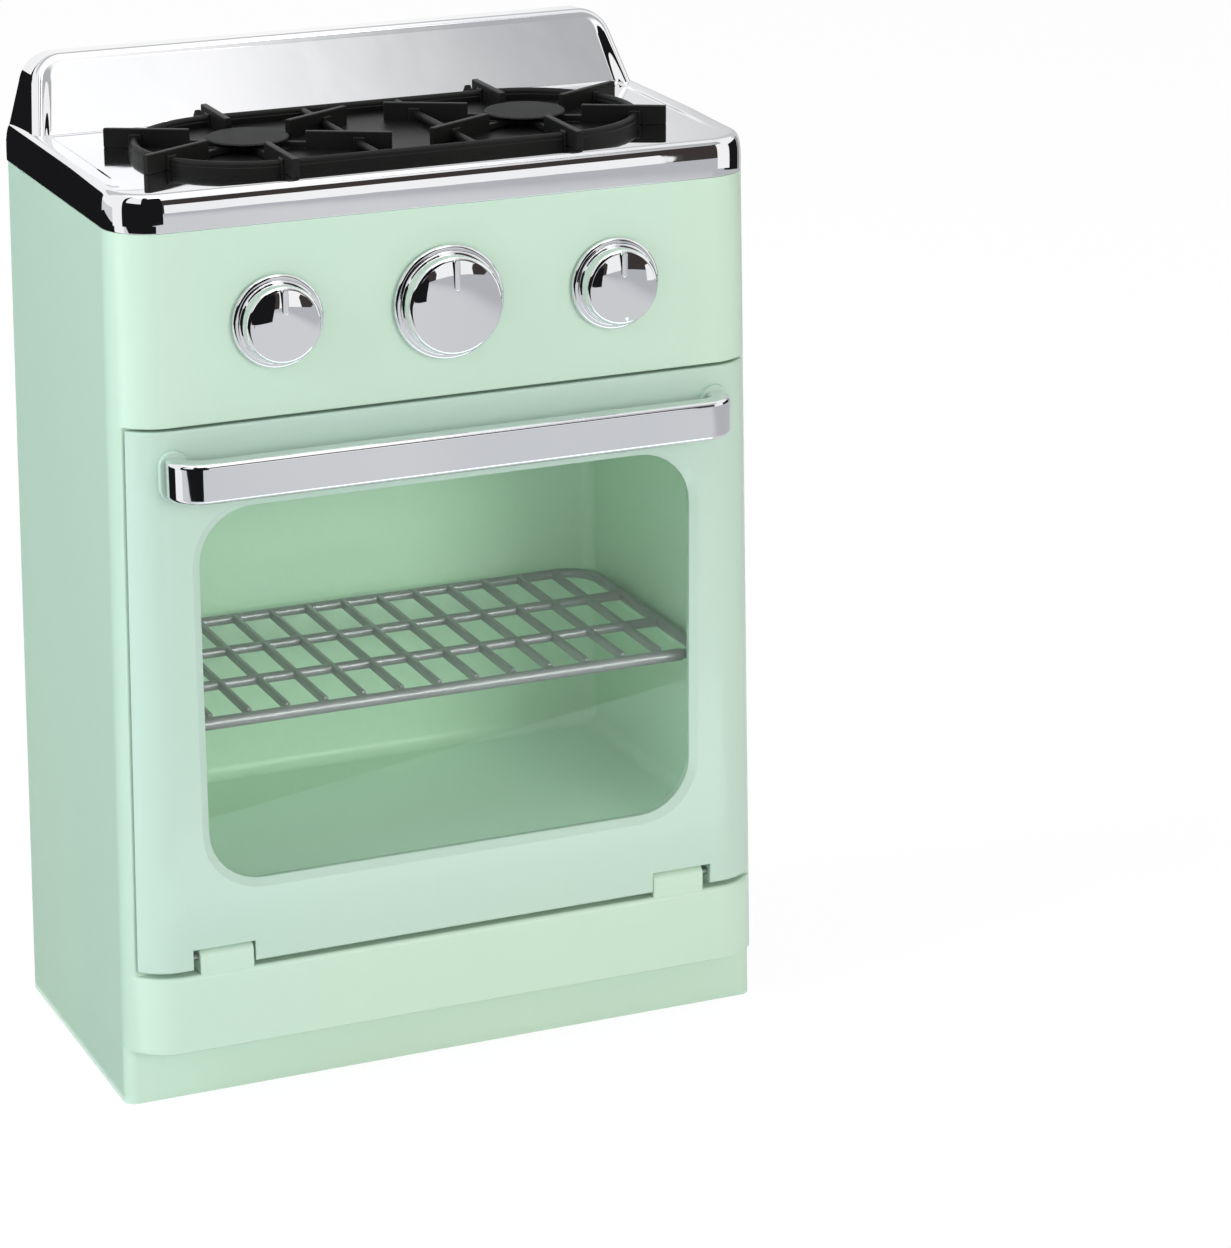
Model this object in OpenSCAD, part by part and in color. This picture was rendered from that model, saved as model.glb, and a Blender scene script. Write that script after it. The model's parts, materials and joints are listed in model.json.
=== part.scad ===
// Doll-sized toy oven: flared mint cabinet, chromed cooktop with a leaning
// backsplash, twin-burner grate, drop-down windowed door and sliding rack.
// Millimetres, +Z up. The origin is the middle of the footprint, on the floor;
// -Y is the front, with the door and knobs, and +Y is the back.

/* [Cabinet] */
// Width of the cabinet where the cooktop sits on it
body_w = 190; // [180:1:210]
// Depth from the front face to the back
body_d = 105; // [100:1:125]
// Height of the moulded cabinet, up to the cooktop
cabinet_h = 258.3; // [250:0.1:280]
// How far each side leans out between the cooktop and the floor
side_flare = 4.5; // [3:0.1:6]
// Radius of the two front vertical corners
corner_r = 14; // [13:0.5:16]
// Radius of the two back vertical corners
rear_r = 1.4; // [1:0.1:1.6]
// Wall thickness of the cabinet
wall = 2.2; // [1.8:0.1:2.6]
// Height of the control panel under the cooktop
panel_h = 54.5; // [50:0.5:60]
// Height of the recessed toe-kick
toe_h = 17.7; // [14:0.1:22]
// How far the toe-kick stands behind the front
toe_recess = 10; // [7:0.5:13]
// Corner radius of the toe-kick
toe_r = 3.5; // [2.7:0.1:5]
// Height of the ledge under the door
ledge_z = 41.2; // [38:0.1:44]
// Radius along the front of the ledge
ledge_r = 1.4; // [0.8:0.1:1.8]
// Height of the lowest pair of back cover screws
cover_screw_z = 22; // [16:1:30]

/* [Door] */
// Thickness of the door
door_t = 5.8; // [5.4:0.1:6.4]
// Running gap between the back of the door and the front frame
door_gap = 0.8; // [0.7:0.05:1]
// Gap between the ledge and the bottom of the door
door_low_gap = 1.6; // [1.5:0.1:2]
// Gap between the door and the control panel above it
door_top_gap = 0.8; // [0.5:0.1:1.2]
// Skin thickness of the door moulding
door_skin = 2; // [1.8:0.1:2.2]
// Rim left round the pocket in the back of the door
door_rim = 9; // [8:0.5:10]
// Thickness of the inner frame that closes the door
door_liner_t = 1.6; // [1.4:0.1:1.7]
// Width of the door's frame on each side of the window
window_side = 20.5; // [19:0.5:25]
// Height of the door's frame under the window
window_sill = 24.9; // [22:0.1:29]
// Height of the door's frame over the window
window_head = 24.2; // [23:0.1:30]
// Corner radius of the window opening
window_r = 16; // [12:0.5:20]
// How far the bevel round the window widens it at the front
window_bevel = 2.4; // [1.5:0.1:3.4]
// Thickness of the clear pane
pane_t = 1.2; // [1:0.1:1.3]
// How far the pane runs under the skin, each side
pane_lap = 4; // [3:0.5:5]

/* [Hinge] */
// Distance of the hinge axis behind the front face
hinge_y = 3.1; // [3:0.05:3.2]
// Height of the hinge axis above the bottom of the door
hinge_rise = 3.2; // [3.1:0.05:3.3]
// How far in from the cabinet's side each hinge notch reaches
notch_in = 32.8; // [29:0.1:39]
// Width of a hinge notch
notch_w = 18.8; // [17:0.1:20]
// Width of a knuckle
knuckle_w = 16.2; // [14:0.1:16.6]
// Outer radius of a knuckle
knuckle_r = 2.7; // [2.2:0.05:2.75]
// Diameter of a hinge pin
pin_d = 2; // [1.8:0.1:2.2]
// How far a pin reaches into the door past each side of its notch
pin_bite = 4.5; // [3:0.1:5]

/* [Handle] */
// How far each end of the handle stops short of the cabinet's side
handle_margin = 10.5; // [8:0.5:15]
// Depth of the handle's section, front to back
handle_t = 6; // [5:0.1:7]
// Height of the handle's section
handle_h = 11.7; // [10:0.1:13]
// How far the front of the handle stands out from the door
handle_out = 12.5; // [11.5:0.1:15]
// Outer radius of the handle's turned-back ends
handle_bend_r = 9.5; // [8.5:0.1:10.5]
// Radius of the long edges of the handle
handle_edge_r = 1.5; // [1:0.1:2]
// Distance from the top of the door down to the handle's middle
handle_drop = 12.7; // [11.5:0.1:15]
// Height of the pads that the handle stands on
pad_h = 15; // [13:0.1:16]
// Width of the pads that the handle stands on
pad_w = 8.4; // [7.4:0.1:9]
// Thickness of the pads that the handle stands on
pad_t = 1.5; // [1:0.1:2]

/* [Knobs] */
// Spacing of the knobs
knob_pitch = 50.3; // [46:0.1:56]
// Flange diameter of the outer knobs
knob_d = 26.6; // [24:0.1:29]
// Flange diameter of the centre knob
big_knob_d = 32.8; // [30:0.1:36]
// Width of the flange that shows round a knob's cap
knob_step = 1.9; // [1.5:0.1:2.4]
// Thickness of a knob's flange
flange_t = 2.2; // [1.8:0.1:2.6]
// How far the rim of a knob's face stands in front of the panel
knob_out = 7.2; // [6:0.1:8.4]
// Height of the dome on a knob's face
knob_dome = 0.5; // [0.3:0.1:0.8]
// Width of the pointer ridge
pointer_w = 2; // [1.6:0.1:2.6]
// Diameter of a knob's shaft
shaft_d = 6; // [5.5:0.1:6.5]
// Gap under a knob's flange
flange_gap = 0.3; // [0.25:0.05:0.4]
// Depth of the tube behind the panel that each shaft turns in
tube_len = 3; // [2.5:0.1:3.5]
// Diameter of the toothed collar behind the panel
collar_d = 18; // [16:0.5:19]
// Thickness of the toothed collar
collar_t = 3; // [2.6:0.1:3.4]
// Number of click teeth on a collar
click_teeth = 16; // [12:1:20]
// Thickness of the click leaf
leaf_t = 0.8; // [0.7:0.1:1]

/* [Cavity] */
// Space between the oven cavity and the cabinet's side
side_space = 10; // [9.8:0.1:15]
// Height of the cavity's floor above the ledge
cavity_rise = 20.3; // [17:0.1:22]
// Distance from the top of the door down to the cavity's roof
cavity_drop = 8; // [7:0.5:13]
// Space between the oven cavity and the back of the cabinet
rear_space = 6.5; // [6.5:0.1:8.5]
// Radius of the cavity's corners
cavity_r = 4; // [3:0.5:6]
// Wall thickness of the liner
liner_t = 2; // [1.5:0.1:2.3]
// Width of the liner's flange behind the front frame
flange_w = 5; // [4.8:0.1:5.2]
// Height of the lip along the foot of the cavity's back wall
lip_h = 2; // [1:0.1:3]

/* [Rack] */
// Diameter of the round rack bars
bar_d = 3; // [2.6:0.1:3.4]
// Height of the rack above the cavity's floor
rack_rise = 52.5; // [48:0.5:60]
// Distance of the front bar's centre line behind the front face
rack_front = 10.7; // [10.6:0.1:12]
// Distance from the rack's rear bar to the back of the cavity
rack_rear_gap = 5.1; // [4.8:0.1:10]
// Number of slats
slat_count = 13; // [9:2:15]
// Thickness of a slat
slat_w = 1.9; // [1.4:0.1:2.4]
// Height of a slat
slat_h = 2.5; // [2:0.1:2.8]
// Gap between the rack and the cavity's side walls
rack_side_gap = 2.3; // [1.5:0.1:3]
// Radius of the rack's rear corners
rack_rear_r = 11; // [6:0.5:14]
// Radius of the rack's front corners
rack_front_r = 4; // [2.5:0.5:6]
// Width of the ledges that the rack slides on
rail_w = 4.5; // [3.5:0.1:6]
// Thickness of the ledges that the rack slides on
rail_t = 1.8; // [1.4:0.1:2.4]

/* [Cooktop] */
// Height of the cooktop's flat top above the cabinet
cooktop_h = 10.7; // [9.5:0.1:12]
// Radius of the cooktop's top edge
bullnose_r = 4; // [3:0.5:5]
// Wall thickness of the cooktop
cooktop_t = 2; // [1.6:0.1:2.4]
// Height of the backsplash above the cooktop
splash_h = 22; // [18:0.5:28]
// Distance of the foot of the backsplash in front of the back face
splash_foot = 23.5; // [22:0.5:26]
// Lean of the backsplash from upright, in degrees
splash_lean = 32; // [24:0.5:34]
// How much each side of the backsplash leans in at the top
splash_taper = 4.6; // [3:0.1:6]
// How far the top of the backsplash falls toward the back
splash_fall = 1.6; // [1:0.1:2.4]
// Corner radius of the backsplash
splash_r = 10; // [8:0.5:12]
// Edge radius of the backsplash's rim
rim_r = 3; // [2:0.1:4]
// Width of the rim round the dished panel
rim_w = 4; // [3.2:0.1:5]
// Depth of the dished panel
dish = 2.2; // [1.2:0.1:2.6]

/* [Grate] */
// Distance of each burner's centre from the cabinet's side
burner_in = 53; // [50:0.5:55]
// Distance from the burners' centres back to the foot of the backsplash
burner_gap = 36.9; // [36.5:0.1:38]
// How far the fins stand out past the middle of the rail
fin_overhang = 9; // [7:0.1:11]
// Width of the grate's rail
grate_rail_w = 3; // [2.4:0.1:3.6]
// Height of the grate's rail
grate_rail_h = 3.6; // [3:0.1:4.2]
// Distance from the tips of the front fins to the front
fin_margin = 3.8; // [3.5:0.1:7]
// Radius of the inner ends of the fins
fin_in = 16.5; // [15:0.1:18]
// Height of the fins
fin_h = 5.5; // [5:0.1:7]
// Thickness of the fins
fin_w = 2.2; // [1.8:0.1:2.6]
// Angle of the diagonal fins from the line through both burners
fin_angle = 28; // [24:1:32]
// Height of the low bars between the fins and the hub
spoke_h = 1.8; // [1.4:0.1:2.4]
// Distance of the two cross rods from the middle
rod_at = 14.4; // [12:0.1:16]
// Diameter of a burner cap
cap_d = 23.8; // [20:0.1:27]
// Height of the cap's top above the cooktop
cap_h = 3.9; // [3.6:0.1:4.6]
// Thickness of a cap's disc
cap_t = 1.1; // [0.9:0.1:1.4]
// Diameter of the hub under a cap
hub_d = 9.5; // [8:0.1:11]

/* [Screws] */
// Head diameter of the cabinet screws
head_d = 4.2; // [3.8:0.1:4.4]
// Shank diameter of the cabinet screws
shank_d = 2; // [1.8:0.1:2.2]
// Height of a pan head
head_h = 1.5; // [1.2:0.1:1.6]
// Length of the cabinet screws
screw_len = 8; // [7:0.5:9]
// Head diameter of the small screws in the door
small_head_d = 3.2; // [3:0.1:3.3]
// Shank diameter of the small screws in the door
small_shank_d = 1.6; // [1.4:0.1:1.7]

/* [Hidden] */
$fn = 48;
tiny = 0.01;
far = 400;
// Radial clearance where a shaft or pin turns
run_fit = 0.05;
// Radial clearance where a pin or shank is held
hold_fit = 0.02;
// Radial clearance where a screw passes through without biting
free_fit = 0.3;
// Clearance between pieces that stay put
seat_gap = 0.2;

front_y = -body_d / 2;
door_z0 = ledge_z + door_low_gap;
panel_z = cabinet_h - panel_h;
door_top = panel_z - door_top_gap;
shelf_top = panel_z + wall;
frame_y = door_t + door_gap;
frame_back = frame_y + wall;
top_z = cabinet_h + cooktop_h;
cavity_w = body_w - 2 * side_space;
cavity_z0 = ledge_z + cavity_rise;
cavity_z1 = door_top - cavity_drop;
cavity_back = body_d - rear_space;
function half_w(z) = body_w / 2 + side_flare * (cabinet_h - z) / cabinet_h;

// Ribs inside the flat covers
rib_w = 1.2;
rib_h = 1.4;
rib_pitch = 30;

// Screws that hold the shells together
cup_depth = head_h + 0.1;
cup_d = head_d + 1;
cup_wall = 1.1;
cup_floor = 1.8;
boss_w = cup_d + 2 * cup_wall;
boss_inset = boss_w / 2 + 0.5;
cover_t = 2;
cover_boss_len = 10;
cover_boss_front = body_d - cup_depth - cup_floor - cover_boss_len;
cover_rows = [cover_screw_z, cabinet_h - 26];
function cover_screw_x(z) = half_w(z) - wall - boss_inset;
base_t = 2;
base_boss_top = 14;
base_rows = [26, body_d - 21];
base_screw_x = half_w(0) - wall - boss_inset;
lug_top = cabinet_h - 10;
lug_t = 2.4;
lug_x = body_w / 2 - 15;
lug_rows = [22, body_d - 17];
lug_hw = 5;
lug_boss_d = shank_d + 2 * wall;
frame_boss_d = 3.8;
frame_rows = [cavity_z0 + 8.5, (cavity_z0 + cavity_z1) / 2, cavity_z1 - 9];
frame_screw_x = cavity_w / 2 + liner_t + flange_w / 2;
frame_head_d = frame_boss_d + 0.8;
frame_screw_len = liner_t + wall - 0.8;

// Door
window_hw = body_w / 2 - window_side;
window_z0 = door_z0 + window_sill;
window_z1 = door_top - window_head;
notch_x = body_w / 2 - notch_in;
handle_len = body_w - 2 * handle_margin;
handle_z = door_top - handle_drop;
hinge_z = door_z0 + hinge_rise;
heel_r = 2.6;
door_edge_r = 0.9;
knuckle_x = notch_x + 0.4 + knuckle_w / 2;
pin_len = notch_w + 2 * pin_bite;
pin_x = notch_x + notch_w / 2;
pocket_z0 = door_z0 + 9.2;
pocket_z1 = door_top - 2.2;
liner_face_y = door_t - door_liner_t;
door_rows = [pocket_z0 + 5.5, (window_z0 + window_z1) / 2, door_top - 6.7];
door_boss_d = 4.4;
function door_screw_x(z) = half_w(z) - door_rim - door_boss_d / 2 - 1.8;
door_screw_len = door_t - 1.4;
handle_end_x = handle_len / 2 - handle_t / 2;

// Knobs and what holds them behind the panel
knob_xs = [-knob_pitch, 0, knob_pitch];
knob_z = cabinet_h - panel_h / 2;
leaf_y = wall + tube_len + flange_gap;
cap_draft = 0.4;
face_edge = 1.3;
pointer_share = 0.27;
pointer_rise = 0.4;
collar_back = 1;
shaft_end = leaf_y + collar_t;
knob_screw_len = 6;
post_w = 3;
leaf_rise = 0.15;
leaf_bump_d = 2;
leaf_eye_x = -14;
leaf_eye_z = collar_d / 2 + leaf_rise + leaf_bump_d / 2 + leaf_t / 2;
eye_w = post_w + 2.4;
catch_nose_d = 2.4;
catch_hole_d = catch_nose_d + 0.8;
catch_y = wall + seat_gap + catch_hole_d / 2;
catch_nose_z = door_top + 0.12 + catch_nose_d / 2;
catch_eye_x = -16;
catch_eye_y = wall + seat_gap + eye_w / 2;

// Rack
rack_z = cavity_z0 + rack_rise;
rack_d = cavity_back - rack_front - rack_rear_gap;
rack_side_x = cavity_w / 2 - rack_side_gap - bar_d / 2;
slat_drop = 0.1;
slat_pitch = 2 * rack_side_x / (slat_count + 1);
rack_rest_gap = 0.15;
rail_top = rack_z - bar_d / 2 - rack_rest_gap;

// Cooktop
splash_foot_y = body_d - splash_foot;
splash_slope_h = splash_h / cos(splash_lean);
splash_sink = 8;
splash_cap = 5;
splash_corner_x = body_w / 2 - splash_taper - splash_r;
burner_x = body_w / 2 - burner_in;
burner_y = splash_foot_y - burner_gap;
fin_out = burner_y - fin_margin;
rail_r = fin_out - fin_overhang;
hub_peg_d = 4;
peg_d = 2.5;
rod_d = 2.4;
spoke_lift = 0.6;
peg_len = cooktop_t + 1;

// Moves a piece drawn from the front face back to the part's own frame
module from_front() translate([0, front_y, 0]) children();

// Everything between two heights, from one distance behind the front to another
module zone(y0, z0, z1, y1 = far) translate([-far / 2, y0, z0]) cube([far, y1 - y0, z1 - z0]);

// Leaning block with the cabinet's plan: rounded front corners, tighter rear ones
module flared(z0, z1, inset, y0, y1, front_r, back_r)
    hull() for (z = [z0, z1 - tiny], side = [-1, 1]) {
        reach = half_w(z) - inset;
        translate([side * (reach - front_r), y0 + front_r, z]) cylinder(r = front_r, h = tiny);
        translate([side * (reach - back_r), y1 - back_r, z]) cylinder(r = back_r, h = tiny);
    }

// Rounded rectangle from v0 to v1, centred across
module round_box(hw, v0, v1, r) {
    translate([-hw + r, v0]) square([2 * (hw - r), v1 - v0]);
    translate([-hw, v0 + r]) square([2 * hw, v1 - v0 - 2 * r]);
    for (side = [-1, 1], v = [v0 + r, v1 - r]) translate([side * (hw - r), v]) circle(r);
}

// Plate outline with the cabinet's side slope
module flared_face(inset, z0, z1) polygon([
    [-half_w(z0) + inset, z0], [half_w(z0) - inset, z0],
    [half_w(z1) - inset, z1], [-half_w(z1) + inset, z1]]);

// Points along an arc
function arc(cx, cy, r, a0, a1, steps = 8) =
    [for (i = [0:steps]) let (a = a0 + (a1 - a0) * i / steps) [cx + r * cos(a), cy + r * sin(a)]];

// Carries an outline seen from the front back from y0 to y1
module back_from(y0, y1) translate([0, y1, 0]) rotate([90, 0, 0]) linear_extrude(y1 - y0) children();

// Carries an outline drawn in depth and height across a width, centred
module across(w) rotate([90, 0, 90]) linear_extrude(w, center = true) children();

// Cylinders along Y and along X
module rod_y(d, y0, y1) translate([0, y1, 0]) rotate([90, 0, 0]) cylinder(d = d, h = y1 - y0);
module rod_x(d, len) rotate([0, 90, 0]) cylinder(d = d, h = len, center = true);

// Places its children once on each side of the middle
module both_sides() for (side = [0, 1]) mirror([side, 0, 0]) children();

// Turns a piece built along +Z so that it points forward or back
module facing_front(x, y, z) translate([x, y, z]) rotate([90, 0, 0]) children();
module facing_back(x, y, z) translate([x, y, z]) rotate([-90, 0, 0]) children();

// Self-tapping screw: seat at z = 0, head below, shank up
module screw(d_head, d_shank, len) difference() {
    union() {
        translate([0, 0, -head_h]) cylinder(d1 = d_head * 0.8, d2 = d_head, h = head_h * 0.4);
        translate([0, 0, -head_h * 0.6]) cylinder(d = d_head, h = head_h * 0.6);
        cylinder(d = d_shank, h = len - d_shank / 2);
        translate([0, 0, len - d_shank / 2]) cylinder(d1 = d_shank, d2 = d_shank * 0.3, h = d_shank / 2);
    }
    for (turn = [0, 90]) rotate(turn) translate([-d_head * 0.3, -d_head * 0.07, -head_h - tiny])
        cube([d_head * 0.6, d_head * 0.14, head_h * 0.5]);
}

// Square post with a swaged head that holds a spring leaf by its eye
module leaf_post(shoulder, eye_len) {
    head_w = post_w + 1.2;
    if (shoulder > 0) translate([-eye_w / 2, -eye_w / 2, -wall / 2])
        cube([eye_w, eye_w, shoulder + wall / 2]);
    translate([-post_w / 2, -post_w / 2, -wall / 2]) cube([post_w, post_w, shoulder + eye_len + wall]);
    translate([-head_w / 2, -head_w / 2, shoulder + eye_len + hold_fit]) cube([head_w, head_w, 1]);
}

// Spring leaf with a square eye at the origin, reaching along +X to its bump
module leaf(reach, width, bump_side) difference() {
    hole_w = post_w + 2 * hold_fit;
    union() {
        translate([-eye_w / 2, -eye_w / 2, 0]) cube([eye_w, eye_w, width]);
        translate([0, -leaf_t / 2, 0]) cube([reach + 1.5, leaf_t, width]);
        translate([reach, bump_side * leaf_t / 2, 0]) cylinder(d = leaf_bump_d, h = width);
    }
    translate([-hole_w / 2, -hole_w / 2, -1]) cube([hole_w, hole_w, width + 2]);
}

module cabinet_outside() {
    difference() {
        flared(toe_h, cabinet_h, 0, 0, body_d, corner_r, rear_r);
        zone(-1, ledge_z, panel_z, frame_y);
        difference() {
            zone(-1, ledge_z - ledge_r, ledge_z + 1, frame_y);
            ledge_bullnose();
        }
    }
    flared(0, toe_h, 0, toe_recess, body_d, toe_r, rear_r);
}

// Rounds the ledge's front edge, round the corners too
module ledge_bullnose() hull() for (a = [0:18:90], side = [-1, 1]) {
    inset = ledge_r * (1 - cos(a));
    z = ledge_z - ledge_r * (1 - sin(a));
    for (y = [corner_r, body_d - corner_r]) translate([side * (half_w(z) - corner_r), y, z - tiny])
        cylinder(r = corner_r - inset, h = tiny);
}

module cabinet_hollow() intersection() {
    flared(-1, cabinet_h + 1, wall, wall, body_d + corner_r, corner_r - wall, rear_r);
    union() {
        zone(toe_recess + wall, -2, toe_h + wall);
        zone(wall, toe_h + wall, ledge_z - wall);
        zone(frame_back, ledge_z - wall, shelf_top);
        zone(wall, shelf_top, cabinet_h + 2);
    }
}

// Half-round barrels that the door hangs on, each on a foot that joins the frame
module knuckles() for (side = [-1, 1]) {
    translate([side * knuckle_x, hinge_y, hinge_z]) rod_x(2 * knuckle_r, knuckle_w);
    translate([side * knuckle_x - knuckle_w / 2, hinge_y - knuckle_r, ledge_z - wall / 2])
        cube([knuckle_w, frame_y + wall / 2 - hinge_y + knuckle_r, hinge_z - ledge_z + wall / 2]);
}

// Blocks and lugs inside the cabinet that the other shells screw to
module cabinet_bosses() {
    into_wall = boss_w / 2 + boss_inset + wall / 2;
    both_sides() {
        for (y = lug_rows) translate([lug_x - lug_hw, y - lug_hw, lug_top - lug_t])
            cube([half_w(lug_top) - wall / 2 - lug_x + lug_hw, 2 * lug_hw, lug_t]);
        for (z = cover_rows) translate([cover_screw_x(z) - boss_w / 2, cover_boss_front, z - boss_w / 2])
            cube([into_wall, cover_boss_len, boss_w]);
        for (y = base_rows) translate([base_screw_x - boss_w / 2, y - boss_w / 2, cup_depth + cup_floor])
            cube([into_wall, boss_w, base_boss_top - cup_depth - cup_floor]);
        for (z = frame_rows) translate([frame_screw_x, 0, z])
            rod_y(frame_boss_d, frame_back - wall / 2, frame_back + liner_t);
    }
    for (x = knob_xs) {
        translate([x, 0, knob_z]) rod_y(shaft_d + 2 * wall, wall / 2, wall + tube_len);
        facing_back(x + leaf_eye_x, wall, knob_z + leaf_eye_z) leaf_post(leaf_y - wall, collar_t);
    }
    translate([catch_eye_x, catch_eye_y, shelf_top]) leaf_post(0, eye_w);
}

module cabinet() color([0.75, 0.88, 0.79]) from_front() difference() {
    union() {
        difference() {
            cabinet_outside();
            cabinet_hollow();
        }
        knuckles();
        cabinet_bosses();
    }
    back_from(frame_y - 1, frame_back + 1) round_box(cavity_w / 2, cavity_z0, cavity_z1, cavity_r);
    for (x = knob_xs) translate([x, 0, knob_z]) rod_y(shaft_d + 2 * run_fit, -1, wall + tube_len + 1);
    translate([0, catch_y, panel_z - 1]) cylinder(d = catch_hole_d, h = wall + 2);
    both_sides() {
        translate([knuckle_x, hinge_y, hinge_z]) rod_x(pin_d + 2 * hold_fit, knuckle_w + 1);
        for (y = lug_rows) translate([lug_x, y, lug_top - lug_t - 1])
            cylinder(d = shank_d + 2 * free_fit, h = lug_t + 2);
        for (z = cover_rows) translate([cover_screw_x(z), 0, z])
            rod_y(shank_d + 2 * hold_fit, cover_boss_front + 1, body_d);
        for (y = base_rows) translate([base_screw_x, y, 0])
            cylinder(d = shank_d + 2 * hold_fit, h = base_boss_top - 1);
        for (z = frame_rows) translate([frame_screw_x, 0, z])
            rod_y(small_shank_d + 2 * hold_fit, frame_y + 0.8, frame_back + liner_t + 1);
    }
}

module base_plate() color([0.75, 0.88, 0.79]) from_front() difference() {
    inset = wall + seat_gap;
    union() {
        flared(0, base_t, inset, toe_recess + inset, body_d - cover_t - seat_gap, toe_r - wall, 0.5);
        both_sides() for (y = base_rows) translate([base_screw_x, y, 0])
            cylinder(d = boss_w - seat_gap, h = cup_depth + cup_floor);
        for (i = [-2:2]) translate([i * rib_pitch - rib_w / 2, base_rows[0], base_t - tiny])
            cube([rib_w, base_rows[1] - base_rows[0], rib_h]);
    }
    both_sides() for (y = base_rows) translate([base_screw_x, y, 0]) {
        translate([0, 0, -1]) cylinder(d = cup_d, h = cup_depth + 1);
        cylinder(d = shank_d + 2 * free_fit, h = far, center = true);
    }
}

module base_screws() color([0.6, 0.6, 0.62]) from_front() both_sides() for (y = base_rows)
    translate([base_screw_x, y, cup_depth]) screw(head_d, shank_d, screw_len);

module rear_cover() color([0.75, 0.88, 0.79]) from_front() difference() {
    rib_z0 = cover_rows[0] + boss_w;
    union() {
        back_from(body_d - cover_t, body_d) flared_face(wall + seat_gap, seat_gap, cabinet_h - seat_gap);
        both_sides() for (z = cover_rows) translate([cover_screw_x(z), 0, z])
            rod_y(boss_w - seat_gap, body_d - cup_depth - cup_floor, body_d - tiny);
        for (i = [-2:2]) translate([i * rib_pitch - rib_w / 2, body_d - cover_t - rib_h, rib_z0])
            cube([rib_w, rib_h + tiny, cover_rows[1] - boss_w - rib_z0]);
    }
    both_sides() for (z = cover_rows) translate([cover_screw_x(z), 0, z]) {
        rod_y(cup_d, body_d - cup_depth, body_d + 1);
        rod_y(shank_d + 2 * free_fit, body_d - screw_len, body_d);
    }
}

module cover_screws() color([0.6, 0.6, 0.62]) from_front() both_sides() for (z = cover_rows)
    facing_front(cover_screw_x(z), body_d - cup_depth, z) screw(head_d, shank_d, screw_len);

module oven_liner() color([0.7, 0.85, 0.73]) from_front() difference() {
    liner_back = cavity_back + liner_t;
    flange_back = frame_back + liner_t;
    z0 = cavity_z0 - liner_t;
    z1 = cavity_z1 + liner_t;
    union() {
        difference() {
            union() {
                back_from(frame_back, liner_back)
                    round_box(cavity_w / 2 + liner_t, z0, z1, cavity_r + liner_t);
                back_from(frame_back, flange_back)
                    round_box(cavity_w / 2 + liner_t + flange_w, z0 - flange_w, z1 + flange_w, 3);
            }
            intersection() {
                back_from(0, cavity_back) round_box(cavity_w / 2, cavity_z0, cavity_z1, cavity_r);
                linear_extrude(far) round_box(cavity_w / 2, -cavity_r, cavity_back, cavity_r);
            }
        }
        both_sides() translate([cavity_w / 2 - rail_w, frame_back, rail_top - rail_t])
            cube([rail_w + liner_t / 2, cavity_back - frame_back + liner_t / 2, rail_t]);
        across(cavity_w + liner_t) polygon([
            [cavity_back - lip_h, cavity_z0 - liner_t / 2], [cavity_back - lip_h, cavity_z0 + lip_h / 4],
            [cavity_back - lip_h / 4, cavity_z0 + lip_h], [cavity_back + liner_t / 2, cavity_z0 + lip_h],
            [cavity_back + liner_t / 2, cavity_z0 - liner_t / 2]]);
    }
    both_sides() for (z = frame_rows) translate([frame_screw_x, 0, z])
        rod_y(frame_boss_d + 0.3, frame_back - 1, flange_back + 1);
}

module liner_screws() color([0.6, 0.6, 0.62]) from_front() both_sides() for (z = frame_rows)
    facing_front(frame_screw_x, frame_back + liner_t, z) screw(frame_head_d, small_shank_d, frame_screw_len);

// Quarter-turn or more of a section about the vertical through the origin
module turned(a0, r, sweep = 90) rotate(a0) rotate_extrude(angle = sweep) translate([r, 0]) children();

module oven_rack() color([0.52, 0.53, 0.54]) from_front() translate([0, rack_front, rack_z]) {
    for (i = [0:3]) {
        trim = i == 0 ? rack_front_r : i == 3 ? rack_rear_r : 0;
        translate([0, i * rack_d / 3, 0]) rod_x(bar_d, 2 * (rack_side_x - trim));
    }
    both_sides() {
        translate([rack_side_x, 0, 0]) rod_y(bar_d, rack_front_r, rack_d - rack_rear_r);
        translate([rack_side_x - rack_front_r, rack_front_r, 0])
            turned(-90, rack_front_r) circle(d = bar_d);
        translate([rack_side_x - rack_rear_r, rack_d - rack_rear_r, 0])
            turned(0, rack_rear_r) circle(d = bar_d);
    }
    for (i = [1:slat_count]) translate([i * slat_pitch - rack_side_x - slat_w / 2, 0, slat_drop - bar_d / 2])
        cube([slat_w, rack_d, slat_h]);
}

// Outline of the door's section, in depth and height, with the heel rounded
module door_section() polygon(concat(
    arc(door_edge_r, door_z0 + door_edge_r, door_edge_r, 270, 180),
    arc(door_edge_r, door_top - door_edge_r, door_edge_r, 180, 90),
    arc(door_t - 0.4, door_top - 0.4, 0.4, 90, 0),
    arc(door_t - heel_r, door_z0 + heel_r, heel_r, 0, -90)));

// The window opening's outline, let out by a margin
module window_outline(margin)
    round_box(window_hw + margin, window_z0 - margin, window_z1 + margin, window_r + margin);

module window_cut() {
    hull() {
        back_from(-0.02, -0.01) window_outline(window_bevel);
        back_from(door_skin - 0.6, door_skin - 0.59) window_outline(0);
    }
    back_from(door_skin - 1, door_t + 1) window_outline(0);
}

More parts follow.
